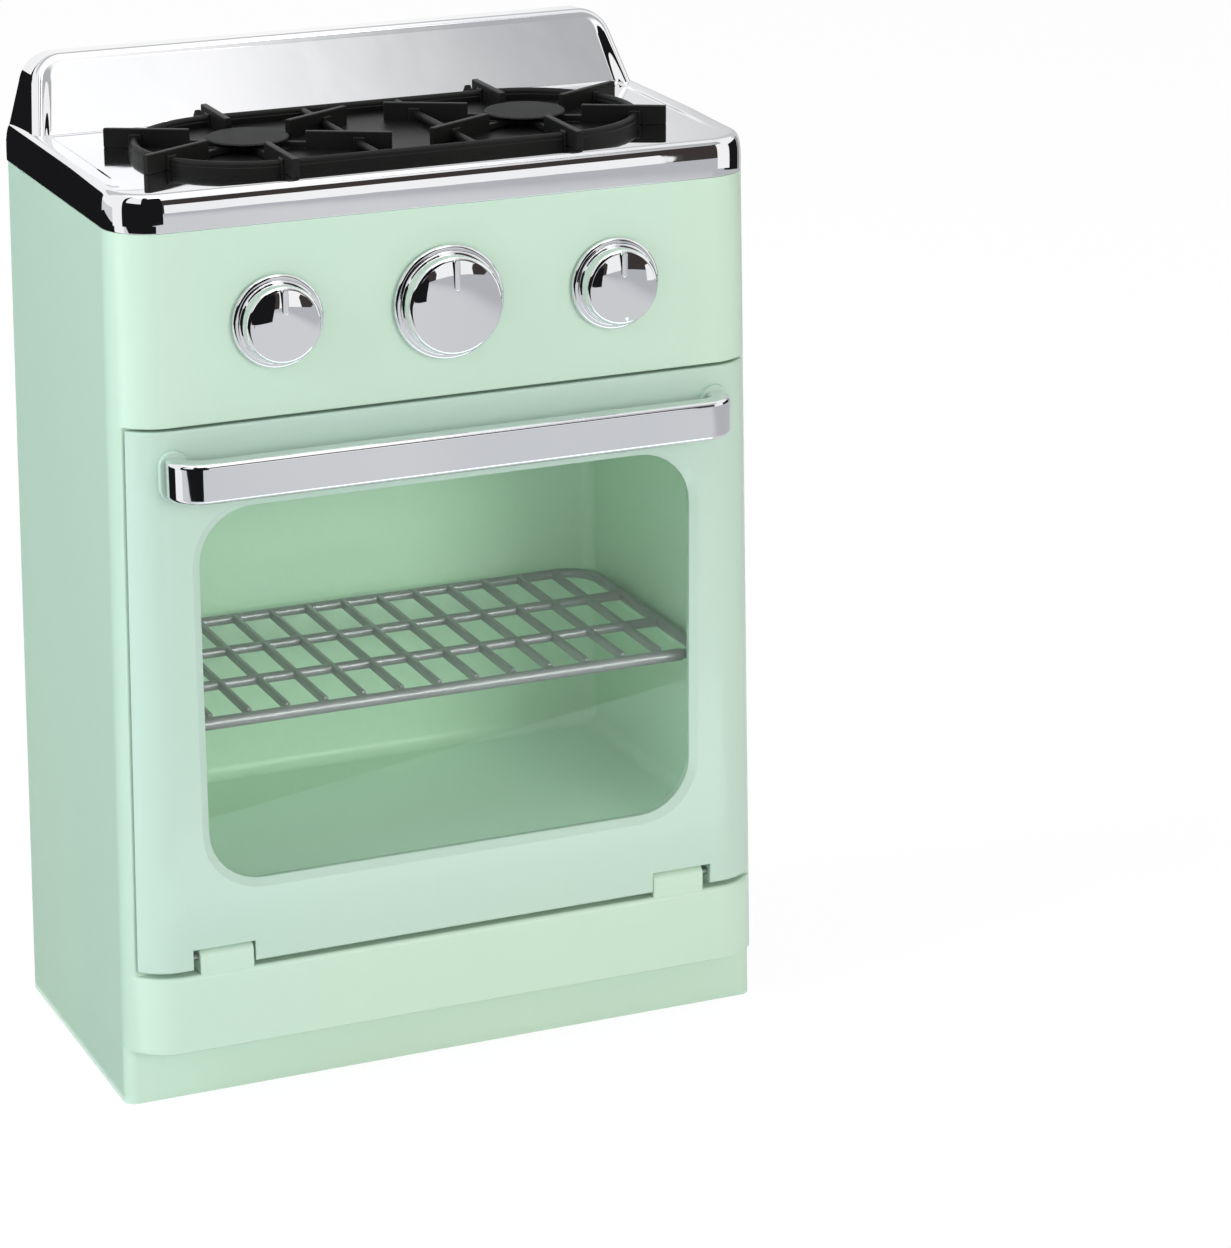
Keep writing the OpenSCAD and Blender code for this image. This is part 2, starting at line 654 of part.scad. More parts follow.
module door_shell() color([0.76, 0.86, 0.82]) from_front() difference() {
    union() {
        difference() {
            intersection() {
                flared(door_z0 - 2, door_top + 2, 0, 0, body_d, corner_r, rear_r);
                across(far) door_section();
            }
            back_from(door_skin, door_t + 1) flared_face(door_rim, pocket_z0, pocket_z1);
        }
        both_sides() {
            back_from(-pad_t, tiny) translate([handle_end_x, handle_z]) pad_outline();
            for (z = door_rows) translate([door_screw_x(z), 0, z])
                rod_y(door_boss_d, door_skin / 2, liner_face_y);
        }
    }
    window_cut();
    both_sides() {
        translate([notch_x, -1, door_z0 - 1]) cube([notch_w, door_t + 2, 2 * hinge_rise + 1]);
        translate([notch_x - pin_len - 1, hinge_y, hinge_z]) rotate([0, 90, 0])
            cylinder(d = pin_d + 2 * run_fit, h = 2 * pin_len - pin_bite + 1.5);
        translate([handle_end_x, 0, handle_z]) rod_y(shank_d + 2 * free_fit, -pad_t - 1, door_skin + 1);
        for (z = door_rows) translate([door_screw_x(z), 0, z])
            rod_y(small_shank_d + 2 * hold_fit, door_t - door_screw_len - 0.2, door_t);
    }
}

module pad_outline() {
    square([pad_w, pad_h - pad_w], center = true);
    for (side = [-1, 1]) translate([0, side * (pad_h - pad_w) / 2]) circle(d = pad_w);
}

module door_liner() color([0.76, 0.86, 0.82]) from_front() difference() {
    countersink = (small_head_d - small_shank_d) / 2;
    union() {
        back_from(liner_face_y, door_t)
            flared_face(door_rim + seat_gap, pocket_z0 + seat_gap, pocket_z1 - seat_gap);
        back_from(door_skin + pane_t, liner_face_y + tiny) window_outline(pane_lap - 0.6);
    }
    back_from(door_skin, door_t + 1) window_outline(1);
    both_sides() for (z = door_rows) translate([door_screw_x(z), 0, z]) {
        rod_y(small_shank_d + 2 * free_fit, liner_face_y - 1, door_t + 1);
        facing_back(0, door_t - countersink, 0)
            cylinder(d1 = small_shank_d + 0.2, d2 = small_head_d + 0.2, h = countersink + tiny);
    }
}

// Countersunk screw: top of the head at z = 0, shank up
module flat_screw(d_head, d_shank, len) {
    head = (d_head - d_shank) / 2;
    slot = [d_head * 0.5, d_head * 0.14, head * 0.6];
    difference() {
        cylinder(d1 = d_head, d2 = d_shank, h = head);
        for (turn = [0, 90]) rotate(turn) translate([-slot.x / 2, -slot.y / 2, -tiny]) cube(slot);
    }
    translate([0, 0, head - tiny]) cylinder(d = d_shank, h = len - head);
}

module door_screws() color([0.6, 0.6, 0.62]) from_front() both_sides() for (z = door_rows)
    facing_front(door_screw_x(z), door_t, z) flat_screw(small_head_d, small_shank_d, door_screw_len);

module window_pane() color([0.85, 0.92, 0.88, 0.35]) from_front()
    back_from(door_skin, door_skin + pane_t) window_outline(pane_lap);

// The handle's section, upright, centred on the origin
module handle_section() round_box(handle_t / 2, -handle_h / 2, handle_h / 2, handle_edge_r);

module door_handle() color([0.85, 0.86, 0.88]) from_front() difference() {
    bend_y = handle_bend_r - handle_out;
    union() {
        translate([0, handle_t / 2 - handle_out, handle_z])
            across(handle_len - 2 * handle_bend_r) handle_section();
        both_sides() {
            translate([handle_len / 2 - handle_bend_r, bend_y, handle_z])
                turned(-90, handle_bend_r - handle_t / 2) handle_section();
            back_from(bend_y, -pad_t) translate([handle_end_x, handle_z]) handle_section();
        }
    }
    both_sides() translate([handle_end_x, 0, handle_z])
        rod_y(shank_d + 2 * hold_fit, -pad_t - screw_len + 2, 1);
}

module handle_screws() color([0.6, 0.6, 0.62]) from_front() both_sides()
    facing_front(handle_end_x, door_skin, handle_z) screw(head_d, shank_d, screw_len);

module hinge_pins() color([0.72, 0.73, 0.75]) from_front() both_sides()
    translate([pin_x, hinge_y, hinge_z]) rod_x(pin_d, pin_len);

module door_catch() color([0.9, 0.9, 0.88]) from_front() difference() {
    post_hole = post_w + 2 * hold_fit;
    union() {
        translate([catch_eye_x - eye_w / 2, catch_eye_y - eye_w / 2, shelf_top + hold_fit]) {
            cube([eye_w / 2 - catch_eye_x + catch_nose_d, eye_w, leaf_t]);
            cube([eye_w, eye_w, eye_w - hold_fit]);
        }
        translate([0, catch_y, catch_nose_z]) {
            cylinder(d = catch_nose_d, h = shelf_top + leaf_t - catch_nose_z);
            sphere(d = catch_nose_d);
        }
    }
    translate([catch_eye_x - post_hole / 2, catch_eye_y - post_hole / 2, shelf_top - 1])
        cube([post_hole, post_hole, eye_w + 2]);
}

// Outline of a knob from its axis out: flange, cap side, rounded rim, domed face
function knob_outline(r) =
    let (cap_r = r - knob_step, face_r = cap_r - cap_draft, rim = (flange_t - flange_gap) / 2)
    concat([[0, flange_gap]],
        arc(r - rim, flange_gap + rim, rim, -90, 90),
        [[cap_r, flange_t]],
        arc(face_r - face_edge, knob_out - face_edge, face_edge, 0, 80, 5),
        [for (i = [5:-1:0]) [(face_r - face_edge) * i / 5, knob_out + knob_dome * (1 - pow(i / 5, 2))]]);

module knob(x, d) color([0.85, 0.86, 0.88]) from_front() facing_front(x, 0, knob_z) difference() {
    union() {
        rotate_extrude() polygon(knob_outline(d / 2));
        translate([0, 0, -shaft_end]) cylinder(d = shaft_d, h = shaft_end + flange_t);
        pointer(d / 2 - knob_step - cap_draft - face_edge * 0.4, d * pointer_share);
    }
    translate([0, 0, -shaft_end - 1]) cylinder(d = shank_d + 2 * hold_fit, h = knob_screw_len + 0.5);
}

// Raised ridge from the rim of a knob's face toward its middle
module pointer(reach, len) translate([0, reach - len, knob_out - 1])
    linear_extrude(1 + knob_dome + pointer_rise) {
        translate([-pointer_w / 2, pointer_w / 2]) square([pointer_w, len - pointer_w / 2]);
        translate([0, pointer_w / 2]) circle(d = pointer_w);
    }

module knob_left() knob(knob_xs[0], knob_d);
module knob_centre() knob(knob_xs[1], big_knob_d);
module knob_right() knob(knob_xs[2], knob_d);

module collar(x) color([0.93, 0.93, 0.9]) from_front() facing_back(x, leaf_y, knob_z) difference() {
    notch_d = collar_d * PI / click_teeth * 0.72;
    union() {
        difference() {
            cylinder(d = collar_d, h = collar_t);
            for (i = [0:click_teeth - 1]) rotate(i * 360 / click_teeth)
                translate([collar_d / 2 + 0.3, 0, -1]) cylinder(d = notch_d, h = collar_t + 2);
        }
        translate([0, 0, collar_t - tiny]) cylinder(d = shaft_d + 3, h = collar_back);
    }
    translate([0, 0, -1]) cylinder(d = shaft_d + 2 * hold_fit, h = collar_t + 1);
    cylinder(d = shank_d + 2 * free_fit, h = far);
}

module collar_left() collar(knob_xs[0]);
module collar_centre() collar(knob_xs[1]);
module collar_right() collar(knob_xs[2]);

module knob_screw(x) color([0.6, 0.6, 0.62]) from_front()
    facing_front(x, shaft_end + collar_back - tiny, knob_z) screw(head_d, shank_d, knob_screw_len);

module knob_screw_left() knob_screw(knob_xs[0]);
module knob_screw_centre() knob_screw(knob_xs[1]);
module knob_screw_right() knob_screw(knob_xs[2]);

module click_springs() color([0.9, 0.9, 0.88]) from_front() for (x = knob_xs)
    facing_front(x + leaf_eye_x, leaf_y + collar_t, knob_z + leaf_eye_z) leaf(-leaf_eye_x, collar_t, -1);

// Edge profile of the slab: flat top, rounded outer corner
module bullnose_edge(reach) {
    square([reach - bullnose_r, cooktop_h]);
    square([reach, cooktop_h - bullnose_r]);
    translate([reach - bullnose_r, cooktop_h - bullnose_r]) circle(bullnose_r);
}

// Plan of the cooktop drawn in from its edge, with square rear corners
module cooktop_plan(inset) {
    translate([-body_w / 2 + inset, corner_r]) square([body_w - 2 * inset, body_d - corner_r - inset]);
    translate([-body_w / 2 + corner_r, inset]) square([body_w - 2 * corner_r, corner_r]);
    both_sides() translate([body_w / 2 - corner_r, corner_r]) circle(corner_r - inset);
}

module cooktop_slab() translate([0, 0, cabinet_h]) {
    translate([0, body_d, 0]) across(body_w - 2 * corner_r) mirror([1, 0]) bullnose_edge(body_d);
    back_from(corner_r, body_d) both_sides() bullnose_edge(body_w / 2);
    both_sides() translate([body_w / 2 - corner_r, corner_r, 0]) rotate(-90)
        rotate_extrude(angle = 90) bullnose_edge(corner_r);
}

// Plane of the backsplash's face: X across, Y into it, Z up its slope
module on_splash() translate([0, splash_foot_y, top_z]) rotate([-splash_lean, 0, 0]) children();

// Upper corner of the backsplash: a disc whose front edge is rounded
module splash_corner() rotate([-90, 0, 0]) rotate_extrude($fn = 40) {
    square([splash_r - rim_r, rim_r + 1]);
    translate([0, rim_r]) square([splash_r, 1]);
    translate([splash_r - rim_r, rim_r]) circle(rim_r, $fn = 24);
}

module splash_body() hull() for (side = [-1, 1]) {
    on_splash() {
        translate([side * splash_corner_x, 0, splash_slope_h - splash_r]) splash_corner();
        translate([side * (body_w / 2 - rim_r - hold_fit), rim_r, -splash_sink])
            cylinder(r = rim_r, h = 1, $fn = 24);
    }
    translate([side * splash_corner_x, body_d - 1, top_z + splash_h - splash_r - splash_fall])
        rotate([-90, 0, 0]) cylinder(r = splash_r, h = 1, $fn = 40);
    translate([side * (body_w / 2 - wall), body_d - wall / 2, cabinet_h + bullnose_r])
        cube([2 * (wall - hold_fit), wall, 1], center = true);
}

// Shallow dish in the backsplash's face, open at the foot
module splash_dish() hull() on_splash() for (side = [-1, 1], level = [0, 1]) {
    inset = rim_w + level * dish;
    depth = level == 0 ? -1 : dish - seat_gap;
    thick = level == 0 ? 1 : seat_gap;
    translate([side * splash_corner_x, depth, splash_slope_h - splash_r])
        rotate([-90, 0, 0]) cylinder(r = splash_r - inset, h = thick, $fn = 40);
    translate([side * (body_w / 2 - inset - wall), depth + thick / 2, -splash_sink * 0.75])
        cube([2 * wall, thick, 1], center = true);
}

// Hollow under the cooktop and up inside the backsplash
module cooktop_hollow() {
    translate([0, 0, cabinet_h - 1]) linear_extrude(cooktop_h - cooktop_t + 1) cooktop_plan(cooktop_t);
    low = top_z - cooktop_t - 1;
    high = top_z + splash_h - splash_cap;
    foot_y = splash_foot_y + (dish + cooktop_t) / cos(splash_lean);
    slope = tan(splash_lean);
    across(2 * splash_corner_x) polygon([
        [foot_y + (low - top_z) * slope, low], [foot_y + (high - top_z) * slope, high],
        [body_d - cooktop_t, high], [body_d - cooktop_t, low]]);
}

module cooktop() color([0.85, 0.86, 0.88]) from_front() difference() {
    peg_z = top_z - cooktop_t - 1;
    union() {
        difference() {
            union() {
                cooktop_slab();
                difference() {
                    splash_body();
                    splash_dish();
                }
            }
            cooktop_hollow();
        }
        both_sides() for (y = lug_rows) translate([lug_x, y, lug_top])
            cylinder(d = lug_boss_d, h = top_z - cooktop_t / 2 - lug_top);
    }
    both_sides() {
        for (y = lug_rows) translate([lug_x, y, lug_top - 1])
            cylinder(d = shank_d + 2 * hold_fit, h = screw_len + 1);
        translate([burner_x, burner_y, peg_z]) cylinder(d = hub_peg_d + seat_gap, h = cooktop_t + 2);
        for (side = [-1, 1]) translate([burner_x, burner_y + side * rail_r, peg_z])
            cylinder(d = peg_d + seat_gap, h = cooktop_t + 2);
    }
}

module cooktop_screws() color([0.6, 0.6, 0.62]) from_front() both_sides() for (y = lug_rows)
    translate([lug_x, y, lug_top - lug_t]) screw(head_d, shank_d, screw_len);

// Section of the grate's rail: flat foot, rounded top
module rail_section() {
    r = grate_rail_w / 2;
    translate([-r, 0]) square([grate_rail_w, grate_rail_h - r]);
    translate([0, grate_rail_h - r]) circle(r);
}

// One burner's half of the grate: curved rail, six fins, spokes, hub and two feet
module grate_half() {
    turned(-90, rail_r, 180) rail_section();
    for (a = [fin_angle, 90, 180 - fin_angle, 180 + fin_angle, 270, 360 - fin_angle]) rotate(a) {
        translate([fin_in, -fin_w / 2, 0]) cube([fin_out - fin_in, fin_w, fin_h]);
        translate([hub_d / 4, -fin_w / 2, spoke_lift]) cube([fin_in - hub_d / 4 + 1, fin_w, spoke_h]);
    }
    cylinder(d = hub_d, h = cap_h - cap_t);
    for (side = [-1, 1]) translate([0, side * rail_r, -peg_len]) cylinder(d = peg_d, h = peg_len + 1);
}

module burner_grate() color([0.16, 0.16, 0.16]) from_front() difference() {
    translate([0, burner_y, top_z]) {
        for (side = [-1, 1]) translate([0, side * rail_r, 0]) across(2 * burner_x) rail_section();
        both_sides() translate([burner_x, 0, 0]) grate_half();
        for (side = [-1, 1]) translate([side * rod_at, -rail_r, grate_rail_h - rod_d / 2 - 0.3])
            rotate([-90, 0, 0]) cylinder(d = rod_d, h = 2 * rail_r);
    }
    both_sides() translate([burner_x, burner_y, top_z - 1])
        cylinder(d = hub_peg_d + 2 * hold_fit, h = cap_h + 1);
    on_splash() translate([-far / 2, dish - seat_gap, 0]) cube([far, far, far]);
}

module burner_cap(side) color([0.2, 0.2, 0.2]) from_front() translate([side * burner_x, burner_y, top_z]) {
    translate([0, 0, cap_h - cap_t]) rotate_extrude() polygon(concat(
        [[0, 0], [cap_d / 2 - 0.3, 0]], arc(cap_d / 2 - 0.5, cap_t - 0.5, 0.5, 0, 90, 4), [[0, cap_t]]));
    translate([0, 0, -peg_len]) cylinder(d = hub_peg_d, h = peg_len + cap_h - cap_t + tiny);
}

module burner_cap_left() burner_cap(-1);
module burner_cap_right() burner_cap(1);

cabinet();
base_plate();
rear_cover();
oven_liner();
oven_rack();
cooktop();
burner_grate();
burner_cap_left();
burner_cap_right();
door_shell();
door_liner();
window_pane();
door_handle();
hinge_pins();
door_catch();
knob_left();
knob_centre();
knob_right();
collar_left();
collar_centre();
collar_right();
knob_screw_left();
knob_screw_centre();
knob_screw_right();
click_springs();
base_screws();
cover_screws();
liner_screws();
cooktop_screws();
door_screws();
handle_screws();
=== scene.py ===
"""Looks for a doll-sized toy oven: moulded mint shells, bright-plated cooktop, handle and knobs.

Shapes are worked out in millimetres from the middle of the front plane on the floor: x to the right,
y back from the front, z up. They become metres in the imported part's frame when a mesh is built.
"""

from __future__ import annotations

import json
import logging
import math
from dataclasses import dataclass
from enum import Enum
from typing import ClassVar, Iterable, Sequence

import bmesh
import bpy
import numpy as np
from mathutils import Matrix, Vector

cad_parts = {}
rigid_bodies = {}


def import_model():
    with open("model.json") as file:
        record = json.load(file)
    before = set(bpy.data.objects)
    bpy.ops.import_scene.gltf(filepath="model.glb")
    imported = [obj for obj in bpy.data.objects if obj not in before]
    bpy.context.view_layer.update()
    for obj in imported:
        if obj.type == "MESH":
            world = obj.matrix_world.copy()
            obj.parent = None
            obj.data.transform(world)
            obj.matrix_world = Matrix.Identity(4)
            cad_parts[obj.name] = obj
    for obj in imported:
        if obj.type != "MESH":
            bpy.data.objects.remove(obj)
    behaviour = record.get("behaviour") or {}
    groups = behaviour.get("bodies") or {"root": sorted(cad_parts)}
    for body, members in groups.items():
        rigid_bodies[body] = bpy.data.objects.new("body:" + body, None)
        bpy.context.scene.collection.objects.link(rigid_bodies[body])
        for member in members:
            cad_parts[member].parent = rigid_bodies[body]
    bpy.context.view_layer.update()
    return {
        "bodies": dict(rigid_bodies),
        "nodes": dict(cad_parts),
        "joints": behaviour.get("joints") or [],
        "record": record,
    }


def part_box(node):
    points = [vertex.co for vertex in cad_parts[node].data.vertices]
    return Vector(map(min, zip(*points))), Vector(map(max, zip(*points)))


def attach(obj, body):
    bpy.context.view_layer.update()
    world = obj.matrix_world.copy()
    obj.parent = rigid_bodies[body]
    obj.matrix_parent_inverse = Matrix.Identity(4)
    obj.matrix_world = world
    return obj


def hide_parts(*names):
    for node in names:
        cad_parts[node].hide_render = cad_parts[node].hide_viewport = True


log = logging.getLogger("toy_oven")

Array = np.ndarray
Pair = tuple[float, float]
Colour = tuple[float, float, float]
Socket = bpy.types.NodeSocket
Material = bpy.types.Material

MM = 0.001
WELD = 2e-6
FULL_ROUND = 0.01
EDGE_STEP = 0.3
UP = np.array([0.0, 0.0, 1.0])
MIRROR = np.array([-1.0, 1.0])


class Side(Enum):
    """Which side of the oven's middle a piece is on, as someone facing the front sees it."""

    LEFT = -1
    RIGHT = 1


def arc(centre: Sequence[float], radius: float, start: float, end: float, steps: int) -> Array:
    """Points along an arc: centre + radius (cos a, sin a), with a in equal steps of degrees.

    Args:
        centre: The arc's centre.
        radius: Its radius.
        start: First angle.
        end: Last angle.
        steps: Number of steps between them.

    Returns:
        An array of steps + 1 points.
    """
    a = np.radians(np.linspace(start, end, steps + 1))
    return np.stack([centre[0] + radius * np.cos(a), centre[1] + radius * np.sin(a)], axis=1)


def rounded_rect(half: float, low: float, high: float, radius: float, steps: int = 8) -> Array:
    """Rectangle with round corners, anticlockwise from the middle of its lower side.

    Each quarter is a side's middle and then the corner's arc, so that outlines of other sizes match it.

    Args:
        half: Half-width.
        low: Lower side.
        high: Upper side.
        radius: Corner radius.
        steps: Steps along each corner.

    Returns:
        An array of 4 (steps + 2) points.
    """
    right, top, bottom = half - radius, high - radius, low + radius
    middle = (low + high) / 2
    return np.concatenate([
        [[0.0, low]], arc((right, bottom), radius, -90, 0, steps),
        [[half, middle]], arc((right, top), radius, 0, 90, steps),
        [[0.0, high]], arc((-right, top), radius, 90, 180, steps),
        [[-half, middle]], arc((-right, bottom), radius, 180, 270, steps)])


def circle(centre: Sequence[float], radius: float, quarter: int = 6) -> Array:
    """Circle anticlockwise from its lowest point, in four quarters of so many steps."""
    return arc(centre, radius, -90, 270, 4 * quarter)[:-1]


def standing(outline: Array, y: float) -> Array:
    """Puts an outline drawn across and up at a distance behind the front plane."""
    return np.stack([outline[:, 0], np.full(len(outline), y), outline[:, 1]], axis=1)


def lying(outline: Array, z: float) -> Array:
    """Puts an outline drawn across and back at a height."""
    return np.column_stack([outline, np.full(len(outline), z)])


def across(section: Array, x: float) -> Array:
    """Puts a section drawn back and up at a distance across."""
    return np.column_stack([np.full(len(section), x), section])


def smooth(t: Array) -> Array:
    """Smooth step from nought to one: t squared times (3 - 2 t)."""
    return t * t * (3 - 2 * t)


def ease(radius: float, degrees: Iterable[float]) -> list[Pair]:
    """Quarter round: radius (1 - sin a) and radius (1 - cos a) for each angle."""
    return [(radius * (1 - math.sin(a)), radius * (1 - math.cos(a))) for a in np.radians(degrees)]


def ring_runs(rows: Array, middle: int, reach: int, way: int = 1) -> list[Array]:
    """Border of an area of a grid, as four runs between the middles of its sides.

    Args:
        rows: Point numbers of the grid's rows at the area's foot, middle and top.
        middle: Column at its middle.
        reach: Columns from the middle to its edge.
        way: Step from a column to the one on its right, 1 or -1.

    Returns:
        Runs from the middle of the foot, round by the right.
    """
    steps = np.arange(reach + 1) * way
    low, mid, high = rows
    east, west = mid[middle + reach * way], mid[middle - reach * way]
    return [np.append(low[middle + steps], east), np.append(east, high[middle + steps[::-1]]),
            np.append(high[middle - steps], west), np.append(west, low[middle - steps[::-1]])]


def linked(name: str, data: bpy.types.ID) -> bpy.types.Object:
    """New object in the scene."""
    made = bpy.data.objects.new(name, data)
    bpy.context.scene.collection.objects.link(made)
    return made


@dataclass(frozen=True)
class Opening:
    """An upright outline with round corners that pieces follow, let out or drawn in."""

    half: float
    low: float
    high: float
    radius: float

    @property
    def middle(self) -> float:
        """Height of its middle."""
        return (self.low + self.high) / 2

    def loop(self, out: float, y: float, rounder: float | None = None) -> Array:
        """Outline let out by a distance at a depth, its corners rounder by the same or by a given size."""
        radius = self.radius + (out if rounder is None else rounder)
        return standing(rounded_rect(self.half + out, self.low - out, self.high + out, radius), y)


class Form:
    """A mesh in the making, in millimetres from the middle of the front plane."""

    def __init__(self) -> None:
        """Starts with no points and no faces."""
        self._points: list[Array] = []
        self._faces: list[list[int]] = []
        self._count = 0

    def place(self, points: Array) -> Array:
        """Adds points of any grid shape.

        Args:
            points: An array whose last axis is x, y, z.

        Returns:
            The points' numbers, in the same grid shape.
        """
        shape = points.shape[:-1]
        ids = np.arange(self._count, self._count + int(np.prod(shape))).reshape(shape)
        self._points.append(points.reshape(-1, 3))
        self._count += ids.size
        return ids

    def points(self, ids: Array) -> Array:
        """Points that carry the given numbers."""
        return np.concatenate(self._points)[ids]

    def quads(self, ids: Array, around: bool = False, keep: Array | None = None) -> None:
        """Joins a grid of point numbers with four-sided faces.

        Args:
            ids: Point numbers, one row for each line of the grid.
            around: Whether each row closes on itself.
            keep: Which cells get a face; all of them if it is left out.
        """
        nxt = np.roll(ids, -1, axis=1) if around else ids[:, 1:]
        own = ids if around else ids[:, :-1]
        faces = np.stack([own[:-1], nxt[:-1], nxt[1:], own[1:]], axis=-1)
        self._faces += (faces.reshape(-1, 4) if keep is None else faces[keep]).tolist()

    def face(self, ids: Iterable[int]) -> None:
        """Adds one face with as many corners as point numbers."""
        self._faces.append([int(i) for i in ids])

    def tube(self, loops: Sequence[Array]) -> Array:
        """Joins closed loops of equal length into an open skin; its point numbers come back in rows."""
        ids = self.place(np.stack(loops))
        self.quads(ids, around=True)
        return ids

    def loft(self, loops: Sequence[Array], ends: tuple[bool, bool] = (True, True)) -> None:
        """Tube with flat faces over its ends.

        Args:
            loops: Arrays of points, one loop after another.
            ends: Whether the first loop and the last one are closed.
        """
        ids = self.tube(loops)
        for row, closed in zip((0, -1), ends):
            if closed:
                self.face(ids[row])

    def patch(self, border: Sequence[Array], hole: Array) -> None:
        """Fills the flat between a border and a hole with four faces, one for each quarter.

        Args:
            border: Four runs of point numbers, each from the middle of one side to that of the next.
            hole: The hole's point numbers in four equal runs that start at the same middles.
        """
        run = len(hole) // 4
        closed = np.append(hole, hole[0])
        for quarter, outer in enumerate(border):
            inner = closed[quarter * run:(quarter + 1) * run + 1]
            self.face([*outer, *inner[::-1]])

    def revolve(self, profile: Array, base: Array, axis: Array, steps: int) -> None:
        """Turns a profile about an axis: base + along axis + radius (cos a u + sin a v).

        Args:
            profile: Points of radius and distance along the axis; ends on the axis close the form.
            base: A point on the axis.
            axis: The axis, of length one and square to x.
            steps: Number of steps round.
        """
        u = np.array([1.0, 0.0, 0.0])
        a = np.linspace(0, 2 * math.pi, steps, endpoint=False)
        around = np.cos(a)[:, None] * u + np.sin(a)[:, None] * np.cross(axis, u)
        loops = base + profile[:, 1, None, None] * axis + profile[:, 0, None, None] * around
        self.loft(list(loops), (profile[0, 0] > 0, profile[-1, 0] > 0))

    def sweep(self, section: Array, path: Array, closed: bool = False) -> None:
        """Carries an upright section along a level path: point + s0 (up x tangent) + s1 up.

        Args:
            section: Points to the side and up.
            path: Points of the path.
            closed: Whether the path's end joins its start.
        """
        if closed:
            tangent = np.roll(path, -1, axis=0) - np.roll(path, 1, axis=0)
        else:
            tangent = np.gradient(path, axis=0)
        aside = np.cross(UP, tangent)
        aside /= np.linalg.norm(aside, axis=1)[:, None]
        loops = path[:, None] + section[None, :, :1] * aside[:, None] + section[None, :, 1:] * UP
        if closed:
            self.quads(np.concatenate([ids := self.place(loops), ids[:1]]), around=True)
        else:
            self.loft(list(loops))

    def bar(self, start: Sequence[float], end: Sequence[float], section: Array, edge: float) -> None:
        """Straight level bar whose two ends are eased over a short length.

        Args:
            start: Middle of the first end.
            end: Middle of the last end.
            section: Points to the side and up.
            edge: Radius of the edge at each end.
        """
        start, end = np.array(start, float), np.array(end, float)
        along = (end - start) / np.linalg.norm(end - start)
        aside = np.cross(UP, along)
        low, high = section.min(axis=0), section.max(axis=0)
        middle, half = (low + high) / 2, (high - low) / 2
        a = np.radians(np.linspace(0, 90, 4))[:, None, None]
        shape = middle + (section - middle) * (half - edge * (1 - np.sin(a))) / half
        skin = shape[..., :1] * aside + shape[..., 1:] * UP
        inward = along * edge * (1 - np.cos(a))
        self.loft([*(start + inward + skin), *(end - inward + skin)[::-1]])

    def stud(self, size: tuple[float, float, float], centre: Pair, span: Pair, edge: float,
             corner: int = 8) -> None:
        """Upright obround with an eased front edge.

        Args:
            size: Half-width, lower end and upper end.
            centre: Its centre, across and up.
            span: Depth of its back and of its front.
            edge: Size of the edge.
            corner: Steps along each corner.
        """
        half, low, high = size
        back, front = span
        near = edge * EDGE_STEP
        steps = (0, back), (0, front + edge), (near, front + near), (edge, front)
        outlines = [rounded_rect(half - inset, low + inset, high - inset, half - inset - FULL_ROUND, corner)
                    for inset, _ in steps]
        self.loft([standing(outline + centre, y) for outline, (_, y) in zip(outlines, steps)])

    def build(self, name: str, material: Material, crease: float) -> bpy.types.Object:
        """Makes the object, with welded seams, faces outward and sharp edges where it creases.

        Args:
            name: The piece's name.
            material: Its finish.
            crease: Angle in degrees past which an edge stays sharp.

        Returns:
            The object, at the origin, with its place in its mesh.
        """
        points = np.concatenate(self._points) + [0.0, front_plane(), 0.0]
        mesh = bpy.data.meshes.new(name)
        mesh.from_pydata((points * MM).tolist(), [], self._faces)
        tidy = bmesh.new()
        tidy.from_mesh(mesh)
        bmesh.ops.remove_doubles(tidy, verts=tidy.verts, dist=WELD)
        bmesh.ops.dissolve_degenerate(tidy, edges=tidy.edges, dist=WELD)
        bmesh.ops.recalc_face_normals(tidy, faces=tidy.faces)
        tidy.to_mesh(mesh)
        tidy.free()
        mesh.polygons.foreach_set("use_smooth", np.ones(len(mesh.polygons), bool))
        mesh.set_sharp_from_angle(angle=math.radians(crease))
        mesh.materials.append(material)
        piece = linked(name, mesh)
        piece.modifiers.new("even_normals", "WEIGHTED_NORMAL").keep_sharp = True
        return piece


def front_plane() -> float:
    """Where the control panel's face is in the part's frame, in millimetres."""
    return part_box("cabinet")[0].y / MM


class Piece:
    """A new piece of the oven: a dataclass for each kind gives its name, sizes, shape and sharp edges."""

    title: ClassVar[str]
    crease: ClassVar[float] = 35.0

    def __post_init__(self) -> None:
        """Starts with an empty mesh."""
        self.form = Form()

    def shape(self) -> None:
        """Adds the piece's points and faces to its form."""
        raise NotImplementedError

    def make(self, finish: Material) -> bpy.types.Object:
        """Builds the piece in a finish."""
        self.shape()
        return self.form.build(self.title, finish, self.crease)


@dataclass(frozen=True)
class Stance:
    """The flared block that cabinet, door and cooktop share, with round front corners."""

    width: float = 190.0
    flare: float = 4.5
    height: float = 258.3
    depth: float = 105.0
    corner: float = 14.0
    rear: float = 1.4

    def half(self, z: float | Array) -> float | Array:
        """Half-width at a height: it grows evenly from the cooktop down to the floor."""
        return self.width / 2 + self.flare * (self.height - z) / self.height


CAVITY = Opening(85.0, 61.5, 195.0, 4.0)


